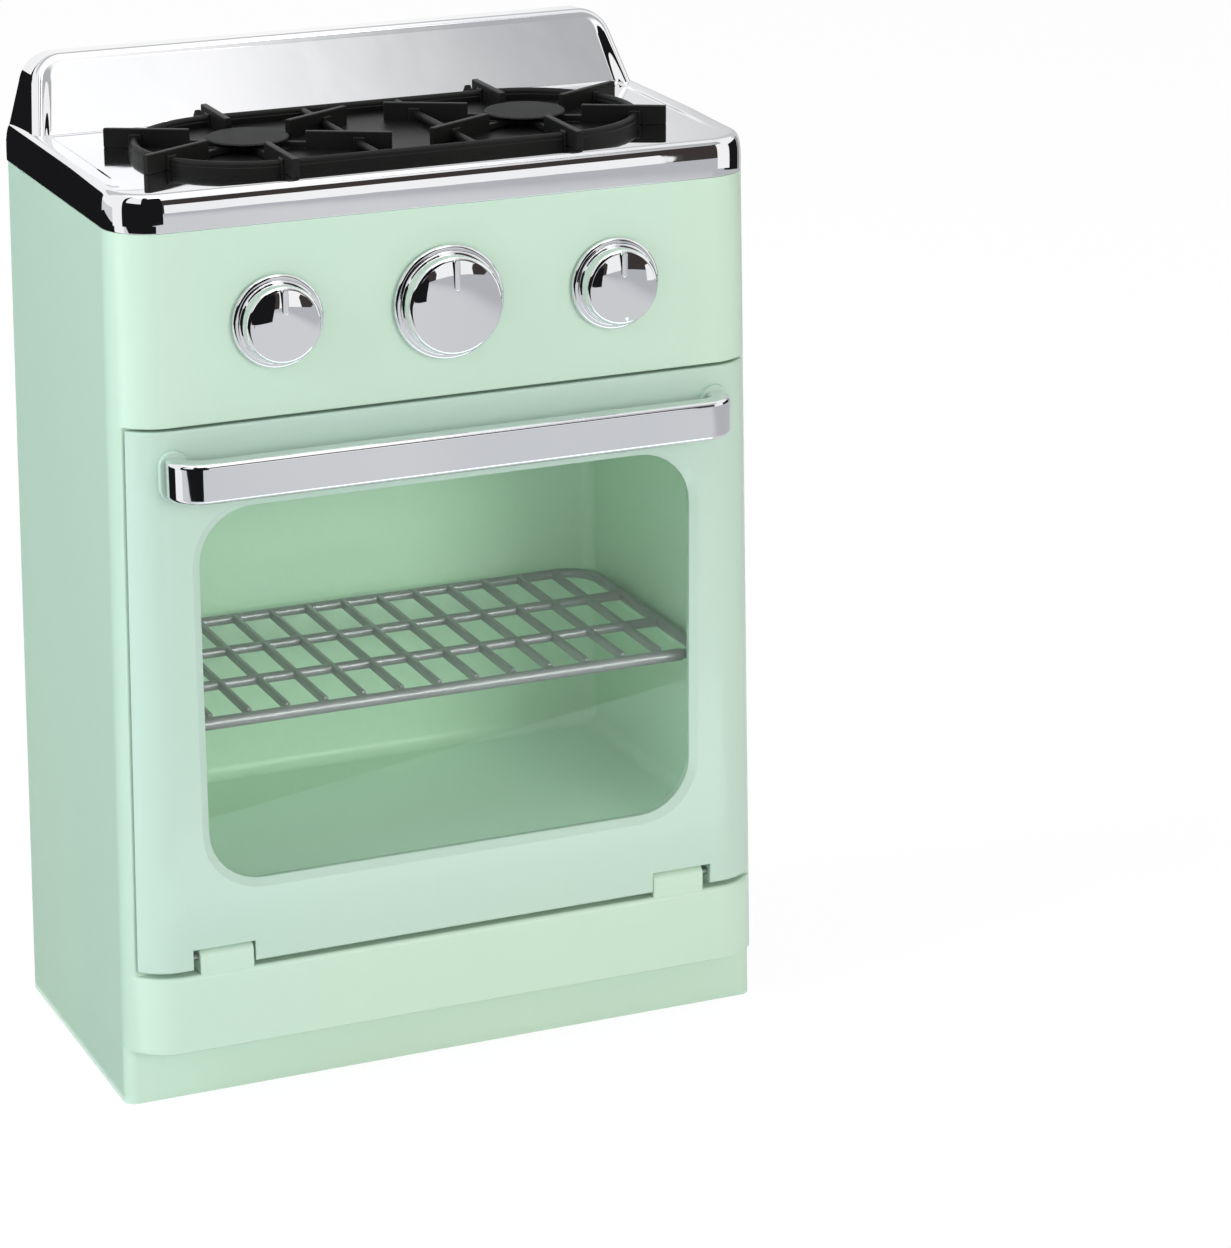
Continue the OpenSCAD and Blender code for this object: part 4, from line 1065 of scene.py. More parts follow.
@dataclass
class Grate(Piece):
    """One-piece twin-burner grate: racetrack rail, fins on edge, spokes, hubs and two cross rods.

    An ease is a pair: radius of a bar's corners, and of the edge at its ends.
    """

    title = "twin_burner_grate"
    crease = 40.0

    burners: Burners = Burners()
    rail_r: float = 31.8
    rail_w: float = 3.0
    rail_h: float = 3.6
    bead: float = 0.8
    shoulder: float = 0.2
    fin_in: float = 16.5
    fin_out: float = 40.8
    fin_back: float = 38.6
    fin_w: float = 1.9
    fin_h: float = 5.5
    fin_angle: float = 28.0
    fin_ease: Pair = (0.35, 0.3)
    foot_w: float = 3.3
    foot_l: float = 3.6
    foot_rise: float = 0.5
    foot_ease: Pair = (0.5, 0.4)
    spoke_w: float = 1.8
    spoke_lift: float = 0.6
    spoke_h: float = 1.8
    spoke_ease: Pair = (0.25, 0.1)
    spoke_span: Pair = (2.0, 17.5)
    hub_d: float = 9.5
    hub_h: float = 2.8
    hub_facets: int = 48
    rib_w: float = 1.0
    rib_low: float = 1.9
    rib_span: Pair = (3.0, 7.6)
    rib_ease: Pair = (0.15, 0.15)
    rod_at: float = 14.4
    rod_d: float = 2.4
    rod_sink: float = 0.3
    rod_edge: float = 0.1
    floor_t: float = 0.35

    def shape(self) -> None:
        """Rail, thin floor and cross rods, and the fins, hub and ribs of each burner."""
        y, base, reach = self.burners.y, self.burners.base, self.rail_r
        self.rail()
        lean = self.fin_angle
        hub = [[0, 0], [self.hub_d / 2, 0], [self.hub_d / 2, self.hub_h], [0, self.hub_h]]
        rib = rounded_rect(self.rib_w / 2, self.rib_low, self.hub_h, self.rib_ease[0], 2)
        for side in Side:
            centre = self.burners.spot(side)
            for angle in (lean, 90, 180 - lean, 180 + lean, 270, 360 - lean):
                self.fin(centre, angle)
            self.form.revolve(np.array(hub, float), centre, UP, self.hub_facets)
            for angle in (45, 135, 225, 315):
                self.spread(centre, angle, self.rib_span, rib, self.rib_ease[1])
        lift = base + self.rail_h - self.rod_d / 2 - self.rod_sink
        for x in (-self.rod_at, self.rod_at):
            self.form.bar((x, y - reach, lift), (x, y + reach, lift), circle((0, 0), self.rod_d / 2),
                          self.rod_edge)
        self.form.loft([lying(self.track(), base + lift) for lift in (0.0, self.floor_t)])

    def track(self) -> Array:
        """Racetrack round both burners: two half circles, joined by straights."""
        x, y = self.burners.x, self.burners.y
        return np.concatenate([arc((way * x, y), self.rail_r, start, start + 180, 36)
                               for way, start in ((1, -90), (-1, 90))])

    def rail(self) -> None:
        """Rail: a beaded section carried round the racetrack."""
        half, high = self.rail_w / 2, self.rail_h
        bead = half * self.bead
        low = high - half - self.shoulder
        section = np.concatenate([[[-half, 0], [half, 0], [half, low], [bead, high - half]],
                                  arc((0, high - bead), bead, 0, 180, 8),
                                  [[-bead, high - half], [-half, low]]])
        self.form.sweep(section, lying(self.track(), self.burners.base), closed=True)

    def spread(self, centre: Array, angle: float, span: Pair, section: Array, edge: float) -> None:
        """Bar that points away from a burner.

        Args:
            centre: Middle of the burner on the slab.
            angle: Direction of the bar in degrees.
            span: Distances of its inner and its outer end.
            section: Points to the side and up.
            edge: Radius of the edge at each end.
        """
        way = np.array([math.cos(math.radians(angle)), math.sin(math.radians(angle)), 0.0])
        self.form.bar(*[centre + way * end for end in span], section, edge)

    def fin(self, centre: Array, angle: float) -> None:
        """Fin on edge, a foot where it crosses the rail, and the lower spoke that joins it to the hub.

        Args:
            centre: Middle of the burner on the slab.
            angle: Direction of the fin in degrees.
        """
        tip = self.fin_back if angle == 90 else self.fin_out
        half, low = self.foot_l / 2, self.spoke_lift
        for span, width, foot, high, (corner, edge), steps in (
                ((self.fin_in, tip), self.fin_w, 0, self.fin_h, self.fin_ease, 3),
                ((self.rail_r - half, self.rail_r + half), self.foot_w, 0, self.rail_h + self.foot_rise,
                 self.foot_ease, 3),
                (self.spoke_span, self.spoke_w, low, low + self.spoke_h, self.spoke_ease, 2)):
            self.spread(centre, angle, span, rounded_rect(width / 2, foot, high, corner, steps), edge)


@dataclass
class BurnerCap(Piece):
    """Flat turned disc with an eased edge over each burner's hub."""

    side: Side
    burners: Burners = Burners()
    diameter: float = 23.3
    high: float = 3.9
    thick: float = 1.1
    edge: float = 0.45
    crown: float = 0.1
    peg: float = 4.0
    peg_foot: float = -3.0
    hub: float = 9.2
    undercut: Pair = (0.15, 0.1)
    facets: int = 72

    @property
    def title(self) -> str:
        """Name of the cap on this side."""
        return f"burner_disc_{self.side.name.lower()}"

    def shape(self) -> None:
        """Peg, coned underside, rounded edge and a top that rises a little to its middle, all turned."""
        r, low, flat = self.diameter / 2, self.high - self.thick, self.high - self.crown
        spread = np.linspace(1, 0, 5)[1:]
        top = np.stack([(r - self.edge) * spread, flat + self.crown * (1 - spread ** 2)], axis=1)
        inset, drop = self.undercut
        under = [[0.0, self.peg_foot], [self.peg / 2, self.peg_foot], [self.peg / 2, low],
                 [self.hub / 2, low], [r - inset, flat - self.edge - drop]]
        rim = arc((r - self.edge, flat - self.edge), self.edge, 0, 90, 6)
        profile = np.concatenate([under, rim, top])
        self.form.revolve(profile, self.burners.spot(self.side), UP, self.facets)


@dataclass
class CavityLiner(Piece):
    """Inner box of the oven: flange, round corners, raised lip at the rear and a ledge each side."""

    title = "cavity_liner"

    cavity: Opening = CAVITY
    front: float = 8.8
    back: float = 98.5
    wall: float = 2.0
    flange: float = 5.0
    mouth: float = 0.3
    lip: float = 2.0
    ledge_w: float = 4.5
    ledge_t: float = 1.8
    ledge_top: float = 112.35
    ledge_start: float = 17.0
    ledge_round: float = 0.4
    ledge_edge: float = 0.3
    overlap: float = 0.5

    def shape(self) -> None:
        """Box from the outside in: back, sides, flange, mouth, cavity and rounded rear."""
        wall, mouth, front, back, over = self.wall, self.mouth, self.front, self.back, self.overlap
        half, low, r = self.cavity.half, self.cavity.low, self.cavity.radius
        loops = [self.cavity.loop(out, y) for out, y in (
            (wall, back + wall), (wall, front + wall), (wall + self.flange, front + wall),
            (wall + self.flange, front), (mouth, front), (0, front + mouth), (0, back - r))]
        for short, inset in ease(r, np.linspace(15, 90, 6)):
            loops.append(self.cavity.loop(-inset, back - short, 2 * FULL_ROUND - inset))
        self.form.loft(loops)
        shelf = rounded_rect(self.ledge_w / 2 + over, self.ledge_top - self.ledge_t, self.ledge_top,
                             self.ledge_round, 3)
        for side in Side:
            x = side.value * (half - self.ledge_w / 2 + over)
            self.form.bar((x, front + self.ledge_start, 0), (x, back + over, 0), shelf, self.ledge_edge)
        lip = self.lip
        section = np.concatenate([arc((back - lip, low + lip), lip, -90, 0, 6), [
            [back + over, low + lip], [back + over, low - over], [back - lip, low - over]]])
        self.form.loft([across(section, x) for x in (over - half, half - over)])


@dataclass
class Rack(Piece):
    """Grey wire-look shelf: round frame with tight front and wide rear corners, bars and flat slats."""

    title = "sliding_rack"

    half: float = 81.2
    z: float = 114.0
    front: float = 10.7
    deep: float = 82.7
    bar: float = 3.0
    front_r: float = 4.0
    rear_r: float = 11.0
    slats: int = 13
    slat_w: float = 1.6
    slat_h: float = 2.8
    slat_drop: float = 0.1
    slat_start: float = 1.0
    grip: float = 3.7
    grip_stop: float = 5.0
    grip_drop: float = 1.2
    grip_back: float = 0.4
    dip: float = 4.0
    slat_round: float = 0.5
    slat_edge: float = 0.3
    bar_edge: float = 0.1
    grip_edge: float = 0.15

    @property
    def near(self) -> float:
        """Depth of the front bar's middle line."""
        return self.front + self.grip_back

    def frame_path(self) -> Array:
        """Middle line of the frame: round corners, and a smooth dip to the front bar over a short run.

        Returns:
            Points in x, y, z.
        """
        f, b, h, small, wide = self.near, self.front + self.deep, self.half, self.front_r, self.rear_r
        run = np.stack([np.full(9, h), np.linspace(f + small, f + small + self.dip, 10)[1:]], axis=1)
        path = np.concatenate([
            arc((h - small, f + small), small, -90, 0, 6), run,
            arc((h - wide, b - wide), wide, 0, 90, 12),
            arc((wide - h, b - wide), wide, 90, 180, 12), run[::-1] * MIRROR,
            arc((small - h, f + small), small, 180, 270, 6)])
        t = np.clip((path[:, 1] - f) / (small + self.dip), 0, 1)
        return np.column_stack([path, self.z - self.grip_drop * (1 - smooth(t))])

    def shape(self) -> None:
        """Frame, thicker front bar, two cross bars and slats."""
        wire = circle((0, 0), self.bar / 2, 4)
        self.form.sweep(wire, self.frame_path(), closed=True)
        reach = np.array([self.half - self.grip_stop, 0.0, 0.0])
        middle = np.array([0.0, self.near, self.z - self.grip_drop])
        self.form.bar(middle - reach, middle + reach, circle((0, 0), self.grip / 2), self.grip_edge)
        for y in self.front + self.deep * np.array([1 / 3, 2 / 3]):
            self.form.bar((-self.half, y, self.z), (self.half, y, self.z), wire, self.bar_edge)
        foot = self.slat_drop - self.bar / 2
        slat = rounded_rect(self.slat_w / 2, foot, foot + self.slat_h, self.slat_round, 4)
        ends = self.near + self.slat_start, self.front + self.deep
        for x in np.linspace(-self.half, self.half, self.slats + 2)[1:-1]:
            self.form.bar(*[(x, y, self.z) for y in ends], slat, self.slat_edge)


FLOW_STRETCH = (1.0, 1.0, 0.35)
FLOW_BEND = 0.3
FLOW_ENDS = (0.25, 0.75)
GRAIN_DETAIL = 4.0
GRAIN_CELLS = 0.4
SWELL_BEND = 0.6
RIPPLE_FINER = 4.0
RIPPLE_SHARE = 0.12
WHITE = (1.0, 1.0, 1.0)


class Pattern(Enum):
    """Shader node groups that more than one finish uses."""

    FLOW = "mould_flow"
    GRAIN = "fine_grain"
    RIPPLE = "plating_ripple"


class Graph:
    """A node tree with short ways to add and join its nodes."""

    def __init__(self, tree: bpy.types.NodeTree) -> None:
        """Holds the tree."""
        self.tree = tree

    def feed(self, socket: Socket, value: object) -> None:
        """Gives a socket what it works with.

        Args:
            socket: The input.
            value: Another socket, to be joined to it, or its value.
        """
        if isinstance(value, bpy.types.NodeSocket):
            self.tree.links.new(value, socket)
        else:
            socket.default_value = value

    def fill(self, node: bpy.types.Node, values: dict) -> None:
        """Feeds a node's inputs, by name or by number."""
        for key, value in values.items():
            self.feed(node.inputs[key], value)

    def add(self, kind: str, settings: dict | None = None, **values: object) -> bpy.types.Node:
        """Adds a node.

        Args:
            kind: Its type, without what all shader nodes' types start with.
            settings: The node's own properties.
            values: What feeds its inputs, by name with underscores for spaces.

        Returns:
            The node.
        """
        node = self.tree.nodes.new(f"ShaderNode{kind}")
        for key, value in (settings or {}).items():
            setattr(node, key, value)
        self.fill(node, {key.replace("_", " "): value for key, value in values.items()})
        return node

    def place(self) -> Socket:
        """Object coordinates, in metres in the part's frame."""
        return self.add("TexCoord").outputs["Object"]

    def noise(self, scale: float | Socket, detail: float, twist: float = 0.0,
              where: Socket | None = None) -> Socket:
        """Noise in the part's frame, from nought to one."""
        return self.add("TexNoise", Vector=where or self.place(), Scale=scale, Detail=detail,
                        Distortion=twist).outputs["Fac"]

    def span(self, value: Socket, low: float, high: float, to_low: float, to_high: float) -> Socket:
        """Carries a value smoothly from one span to another."""
        return self.add("MapRange", {"interpolation_type": "SMOOTHSTEP"}, Value=value, From_Min=low,
                        From_Max=high, To_Min=to_low, To_Max=to_high).outputs["Result"]

    def ordered(self, kind: str, settings: dict, values: dict[int, object], output: int = 0) -> Socket:
        """Adds a node whose sockets share names, so that they go by number.

        Args:
            kind: Its type.
            settings: The node's own properties.
            values: What feeds its inputs, by number.
            output: Number of the output to give back.

        Returns:
            That output.
        """
        node = self.add(kind, settings)
        self.fill(node, values)
        return node.outputs[output]

    def blend(self, mask: Socket, first: Colour, second: Colour) -> Socket:
        """Colour between two colours by a mask."""
        return self.ordered("Mix", {"data_type": "RGBA"}, {0: mask, 6: (*first, 1.0), 7: (*second, 1.0)}, 2)

    def maths(self, operation: str, first: object, second: object) -> Socket:
        """One sum of two numbers or sockets."""
        return self.ordered("Math", {"operation": operation}, {0: first, 1: second})

    def mix(self, share: Socket, first: Socket, second: Socket) -> Socket:
        """Shader between two shaders."""
        return self.ordered("MixShader", {}, {0: share, 1: first, 2: second})

    def glow(self, colour: Colour | Socket) -> Socket:
        """Shader that shines in a colour."""
        return self.add("Emission", Color=(*colour, 1.0) if isinstance(colour, tuple) else colour).outputs[0]

    def surface(self, shader: Socket) -> None:
        """Makes a shader the material's surface."""
        self.feed(self.tree.nodes["Material Output"].inputs["Surface"], shader)

    def left_to_right(self, ends: Pair, first: Colour, second: Colour) -> Socket:
        """Colour that shades from one to another between two places across."""
        x = self.add("SeparateXYZ", Vector=self.place()).outputs["X"]
        return self.blend(self.span(x, *ends, 0, 1), first, second)

    def pattern(self, kind: Pattern, scale: float) -> Socket:
        """Places a shared pattern.

        Args:
            kind: Which pattern.
            scale: Its scale, in repeats for each metre.

        Returns:
            Its one output.
        """
        node = self.add("Group")
        node.node_tree = pattern_group(kind)
        node.inputs["Scale"].default_value = scale
        return node.outputs[0]


def pattern_group(kind: Pattern) -> bpy.types.NodeTree:
    """Shader group of a pattern, built the first time that it is asked for.

    Flow is a broad, bent noise drawn to its ends. Grain is fine noise with a few deeper cells. Ripple is
    a slow swell with a smaller one on it.

    Args:
        kind: Which pattern.

    Returns:
        The group, with an input Scale and one output.
    """
    known = bpy.data.node_groups.get(kind.value)
    if known:
        return known
    tree = bpy.data.node_groups.new(kind.value, "ShaderNodeTree")
    tree.interface.new_socket("Scale", in_out="INPUT", socket_type="NodeSocketFloat")
    name = "Mask" if kind is Pattern.FLOW else "Height"
    tree.interface.new_socket(name, in_out="OUTPUT", socket_type="NodeSocketFloat")
    graph = Graph(tree)
    scale = tree.nodes.new("NodeGroupInput").outputs["Scale"]
    if kind is Pattern.FLOW:
        stretch = graph.add("Mapping", Vector=graph.place(), Scale=FLOW_STRETCH).outputs["Vector"]
        value = graph.span(graph.noise(scale, 1.0, FLOW_BEND, stretch), *FLOW_ENDS, 0.0, 1.0)
    elif kind is Pattern.GRAIN:
        cells = graph.add("TexVoronoi", Vector=graph.place(), Scale=scale).outputs["Distance"]
        cells = graph.maths("MULTIPLY", cells, GRAIN_CELLS)
        value = graph.maths("ADD", graph.noise(scale, GRAIN_DETAIL), cells)
    else:
        small = graph.noise(graph.maths("MULTIPLY", scale, RIPPLE_FINER), 1.0)
        small = graph.maths("MULTIPLY", small, RIPPLE_SHARE)
        value = graph.maths("ADD", graph.noise(scale, 1.0, SWELL_BEND), small)
    graph.feed(tree.nodes.new("NodeGroupOutput").inputs[name], value)
    return tree


def started(name: str, plain: bool = False) -> tuple[Material, Graph, bpy.types.Node | None]:
    """Starts a material with nodes.

    Args:
        name: Its name.
        plain: Whether it does without the Principled shader.

    Returns:
        The material, its graph and its Principled shader.
    """
    made = bpy.data.materials.new(name)
    made.use_nodes = True
    shader = made.node_tree.nodes["Principled BSDF"]
    if plain:
        made.node_tree.nodes.remove(shader)
    return made, Graph(made.node_tree), None if plain else shader


@dataclass(frozen=True)
class MouldedPlastic:
    """Moulded plastic: two close shades that flow into each other, a fine skin and a clear gloss."""

    name: str
    colour: Colour
    shade: Colour
    rough: float = 0.22
    rough_spread: float = 0.03
    rough_from: float = 0.0
    coat: float = 0.0
    coat_rough: float = 0.06
    flow: float = 9.0
    relief: Pattern = Pattern.GRAIN
    grain: float = 900.0
    grain_depth: float = 0.00001
    metal: float = 0.0
    shine: float = 0.5

    def material(self) -> Material:
        """Builds the material, with its patterns in the part's frame.

        Returns:
            The material.
        """
        made, graph, shader = started(self.name)
        mask = graph.pattern(Pattern.FLOW, self.flow)
        bump = graph.add("Bump", Strength=1.0, Distance=self.grain_depth,
                         Height=graph.pattern(self.relief, self.grain))
        graph.fill(shader, {
            "Base Color": graph.blend(mask, self.colour, self.shade),
            "Roughness": graph.span(mask, self.rough_from, 1, self.rough, self.rough + self.rough_spread),
            "Normal": bump.outputs["Normal"], "Metallic": self.metal, "Coat Weight": self.coat,
            "Coat Roughness": self.coat_rough, "Specular IOR Level": self.shine})
        return made


@dataclass(frozen=True)
class BrightPlating(MouldedPlastic):
    """Plated plastic: mirror-bright metal whose face swells a little, with faint hazy patches."""

    name: str = "bright_plating"
    colour: Colour = (0.88, 0.88, 0.89)
    shade: Colour = (0.8, 0.81, 0.83)
    rough: float = 0.02
    rough_spread: float = 0.05
    rough_from: float = 0.3
    flow: float = 14.0
    relief: Pattern = Pattern.RIPPLE
    grain: float = 45.0
    grain_depth: float = 0.00006
    metal: float = 1.0


@dataclass(frozen=True)
class ClearSheet:
    """Thin clear sheet: it refracts and reflects, and lets light through to what is behind."""

    name: str = "clear_sheet"
    tint: Colour = (0.94, 0.975, 0.95)
    shade: Colour = (0.92, 0.965, 0.935)
    flow: float = 700.0
    index: float = 1.45

    def material(self) -> Material:
        """Builds the material: the clear plastic, and plain see-through for shadow and bounced light.

        Returns:
            The material.
        """
        made, graph, shader = started(self.name)
        mask = graph.pattern(Pattern.FLOW, self.flow)
        graph.fill(shader, {"Metallic": 0.0, "Roughness": 0.0, "Transmission Weight": 1.0,
                            "IOR": self.index, "Base Color": graph.blend(mask, self.tint, self.shade)})
        path = graph.add("LightPath").outputs
        through = graph.maths("MAXIMUM", path["Is Shadow Ray"], path["Is Diffuse Ray"])
        clear = graph.add("BsdfTransparent", Color=(*self.tint, 1.0)).outputs[0]
        graph.surface(graph.mix(through, shader.outputs[0], clear))
        return made


class Finishes:
    """Every finish of the oven, made once."""

    def __init__(self) -> None:
        """Makes the materials; colours are linear."""
        plastic = MouldedPlastic
        self.mint = plastic("mint_gloss", (0.548, 0.722, 0.592), (0.572, 0.735, 0.580), coat=0.35).material()
        # The door's finish is the cabinet's mint made darker: painted shade that offsets the extra light
        # falling on the door.
        self.door = plastic("door_mint_painted_shade", (0.490, 0.652, 0.562), (0.518, 0.667, 0.550),
                            coat=0.35).material()
        # The cavity's finish is the shell's mint made lighter: painted light that stands in for the light
        # filling the cavity.
        self.cavity = plastic("cavity_mint_painted_light", (0.655, 0.885, 0.69), (0.670, 0.890, 0.68), 0.3).material()
        self.plating = BrightPlating().material()
        self.black = plastic("grate_black", (0.007, 0.007, 0.0065), (0.010, 0.010, 0.009), 0.42, flow=30,
                             grain=1600, grain_depth=0.00003, shine=0.22).material()
        self.cap = plastic("cap_charcoal", (0.016, 0.017, 0.015), (0.021, 0.022, 0.020), 0.6, flow=40,
                           grain=2400, grain_depth=0.00006, shine=0.25).material()
        self.wire = plastic("rack_grey", (0.30, 0.295, 0.305), (0.335, 0.33, 0.34), 0.36, flow=30,
                            grain=1500, metal=0.5).material()
        self.steel = plastic("screw_steel", (0.42, 0.42, 0.43), (0.50, 0.50, 0.50), 0.32, flow=150,
                             grain=3000, grain_depth=0.00002, metal=1.0).material()
        self.spring = plastic("spring_white", (0.78, 0.78, 0.74), (0.72, 0.72, 0.68), 0.35, flow=60,
                              grain=1800).material()
        self.clear = ClearSheet().material()


@dataclass(frozen=True, kw_only=True)
class Card:
    """A sheet of the studio that only reflections see, plain or shading from near to far along x."""

    name: str
    near: Colour
    far: Colour | None = None
    across: Pair = (0.0, 1.0)

    def grid(self) -> Array:
        """Points of the sheet, as a grid of two rows."""
        raise NotImplementedError

    def make(self) -> None:
        """Builds the card with its own glow and hides it from every ray but gloss."""
        grid = self.grid()
        ids = np.arange(2 * grid.shape[1]).reshape(2, -1)
        faces = np.stack([ids[0, :-1], ids[0, 1:], ids[1, 1:], ids[1, :-1]], axis=-1)
        mesh = bpy.data.meshes.new(self.name)
        mesh.from_pydata(grid.reshape(-1, 3).tolist(), [], faces.tolist())
        card = linked(self.name, mesh)
        material, graph, _ = started(self.name, plain=True)
        shaded = graph.left_to_right(self.across, self.near, self.far) if self.far else self.near
        graph.surface(graph.glow(shaded))
        mesh.materials.append(material)
        for ray in ("camera", "diffuse", "transmission", "volume_scatter", "shadow"):
            setattr(card, f"visible_{ray}", False)


@dataclass(frozen=True, kw_only=True)
class WallCard(Card):
    """Curved wall of the studio, by bearing from the front toward the right and by rise, in degrees."""

    bearing: Pair
    rise: Pair
    radius: float = 1.15
    middle: Colour = (0.0, -0.05, 0.26)
    columns: int = 13

    def grid(self) -> Array:
        """Points at middle + radius (sin b, -cos b, tan rise), never under the floor.

        Returns:
            A grid of two rows, at the lower and the upper rise.
        """
        b = np.radians(np.linspace(*self.bearing, self.columns))
        t = np.tan(np.radians(np.array(self.rise)))[:, None]
        spot = [np.broadcast_to(part, (2, self.columns)) for part in (np.sin(b), -np.cos(b), t)]
        grid = np.array(self.middle) + self.radius * np.stack(spot, axis=-1)
        grid[..., 2] = np.maximum(grid[..., 2], 0.0)
        return grid


@dataclass(frozen=True, kw_only=True)
class FloorCard(Card):
    """Level sheet over the floor between a left and a right edge, each given by its ends."""

    left: tuple[Pair, Pair]
    right: tuple[Pair, Pair]
    lift: float = 0.0004

    def grid(self) -> Array:
        """The four corners, lifted off the floor."""
        flat = np.array([self.left, self.right])
        return np.concatenate([flat, np.full((2, 2, 1), self.lift)], axis=-1)


@dataclass
class Studio:
    """White sweep, soft lamps, reflection cards and the camera at the photograph's angle."""

    yaw: float = 0.4095
    pitch: float = 0.328
    roll: float = -0.0045
    eye: Colour = (-0.42407, -1.14581, 0.53466)
    focal_px: float = 4340.0
    frame_px: float = 1248.0
    film: float = 36.0
    ambient: float = 0.55
    floor_half: float = 6.0
    floor_back: float = 8.0
    floor_glow: float = 0.85
    floor_matt: Colour = (0.9, 0.9, 0.9)
    floor_white: Colour = (1.06, 1.06, 1.06)
    floor_left: Colour = (0.68, 0.69, 0.71)
    floor_right: Colour = (0.50, 0.51, 0.54)
    floor_across: Pair = (0.34, 0.62)
    aim: Colour = (0.0, 0.0, 0.13)

    def camera(self) -> None:
        """Camera: its axes follow from yaw, pitch and roll, and the lens from the focal length in pixels."""
        sy, cy, sp, cp = math.sin(self.yaw), math.cos(self.yaw), math.sin(self.pitch), math.cos(self.pitch)
        ahead = Vector((sy * cp, cy * cp, -sp))
        right = Vector((cy, -sy, 0.0))
        up = right.cross(ahead)
        cr, sr = math.cos(self.roll), math.sin(self.roll)
        frame = Matrix((cr * right + sr * up, cr * up - sr * right, -ahead)).transposed().to_4x4()
        frame.translation = self.eye
        lens = bpy.data.cameras.new("camera")
        lens.sensor_width = self.film
        lens.lens = self.focal_px / self.frame_px * self.film
        camera = linked("camera", lens)
        camera.matrix_world = frame
        bpy.context.scene.camera = camera

    def world(self) -> None:
        """White surroundings: full white to camera, gloss and clear sheet, softer as light on the oven."""
        world = bpy.data.worlds.new("studio")
        bpy.context.scene.world = world
        world.use_nodes = True
        graph = Graph(world.node_tree)
        path = graph.add("LightPath").outputs
        seen = graph.maths("MAXIMUM", path["Is Camera Ray"], path["Is Transmission Ray"])
        seen = graph.maths("MAXIMUM", seen, path["Is Glossy Ray"])
        graph.fill(world.node_tree.nodes["Background"], {
            "Color": (*WHITE, 1.0), "Strength": graph.span(seen, 0, 1, self.ambient, 1.0)})

    def floor(self) -> None:
        """White floor that keeps the oven's shadow; in reflections it is a pale grey."""
        mesh = bpy.data.meshes.new("floor")
        near, far = self.floor_half, self.floor_back
        mesh.from_pydata([(-near, -near, 0), (near, -near, 0), (near, far, 0), (-near, far, 0)], [],
                         [(0, 1, 2, 3)])
        floor = linked("floor", mesh)
        paint, graph, _ = started("floor", plain=True)
        path = graph.add("LightPath").outputs
        matt = graph.add("BsdfDiffuse", Color=(*self.floor_matt, 1.0)).outputs[0]
        seen = graph.maths("MAXIMUM", path["Is Camera Ray"], path["Is Transmission Ray"])
        plain = graph.mix(graph.maths("MULTIPLY", seen, self.floor_glow), matt, graph.glow(self.floor_white))
        grey = graph.glow(graph.left_to_right(self.floor_across, self.floor_left, self.floor_right))
        graph.surface(graph.mix(path["Is Glossy Ray"], plain, grey))
        mesh.materials.append(paint)

    def cards(self) -> None:
        """Cards round the oven: a dark room with a bright front card, soft panels and a white left."""
        dark, white, pale = (0.010, 0.010, 0.011), WHITE, (0.60, 0.61, 0.62)
        brown = (0.050, 0.042, 0.040)
        plain_walls = (
            ("room_front_left", dark, (-82, 9), (-14, 62), 1.15),
            ("room_front", brown, (9, 60), (-5, 29), 1.15),
            ("right_panel", white, (42, 76), (-12, 27), 1.1),
            ("room_right", dark, (60, 122), (-14, 12), 1.15),
            ("left_white", white, (-106, -82), (-13, 45), 1.15),
            ("room_back_left", dark, (-186, -145), (-14, 8), 1.15),
            ("back_room", pale, (122, 230), (24, 75), 1.2),
            ("front_card", white, (12, 27), (-5, 9), 1.1),
            ("left_panel", white, (-74, -40), (16, 60), 1.1))
        for name, colour, bearing, rise, radius in plain_walls:
            WallCard(name=name, near=colour, bearing=bearing, rise=rise, radius=radius).make()
        WallCard(name="soft_panel", near=(1.16, 1.16, 1.16), far=(0.48, 0.49, 0.50), across=(0.38, 0.68),
                 bearing=(13, 62), rise=(29, 62)).make()
        FloorCard(name="overhead", near=(1.3, 1.3, 1.3), far=(0.95, 0.95, 0.96), across=(0.42, 0.66),
                  lift=1.6, left=((-0.9, -0.78), (-0.9, 0.5)), right=((1.2, -0.78), (1.2, 0.5))).make()
        WallCard(name="back_panel", near=white, far=pale, across=(0.42, 0.62), bearing=(110, 172),
                 rise=(-14, 26)).make()
        level_sheets = (
            ("strip", (3.5, 3.5, 3.5), ((-0.5, -1.12), (-0.5, -0.92)), ((1.1, -1.12), (1.1, -0.92)), 1.62),
            ("near_sheet", (1.7, 2.0, 2.1), ((-0.25, -0.1904), (-0.25, -0.19)),
             ((0.22, -0.333), (0.22, -0.19)), 0.0004),
            ("left_sheet", white, ((-1.2, -0.30), (-1.2, 0.16)), ((-0.2, -0.12), (-0.2, 0.10)), 0.0004),
            ("front_left_floor", dark, ((-1.2, -1.15), (-1.2, -0.36)), ((-0.15, -1.15), (-0.11, -0.48)),
             0.0004),
            ("back_left_floor", dark, ((-1.2, 0.22), (-1.2, 1.2)), ((-0.1, -0.06), (-0.1, 1.2)), 0.0008))
        for name, colour, left, right, lift in level_sheets:
            FloorCard(name=name, near=colour, left=left, right=right, lift=lift).make()

    def lamp(self, name: str, spot: Colour, size: float, watts: float,
             tint: Colour = WHITE) -> None:
        """Soft square lamp aimed at the oven's middle.

        Args:
            name: Its name.
            spot: Where it stands.
            size: Side of the square.
            watts: Its power.
            tint: Its colour.
        """
        light = bpy.data.lights.new(name, "AREA")
        light.size = size
        light.energy = watts
        light.color = tint
        lamp = linked(name, light)
        lamp.location = spot
        lamp.rotation_euler = (Vector(self.aim) - Vector(spot)).to_track_quat("-Z", "Y").to_euler()
        lamp.visible_glossy = False

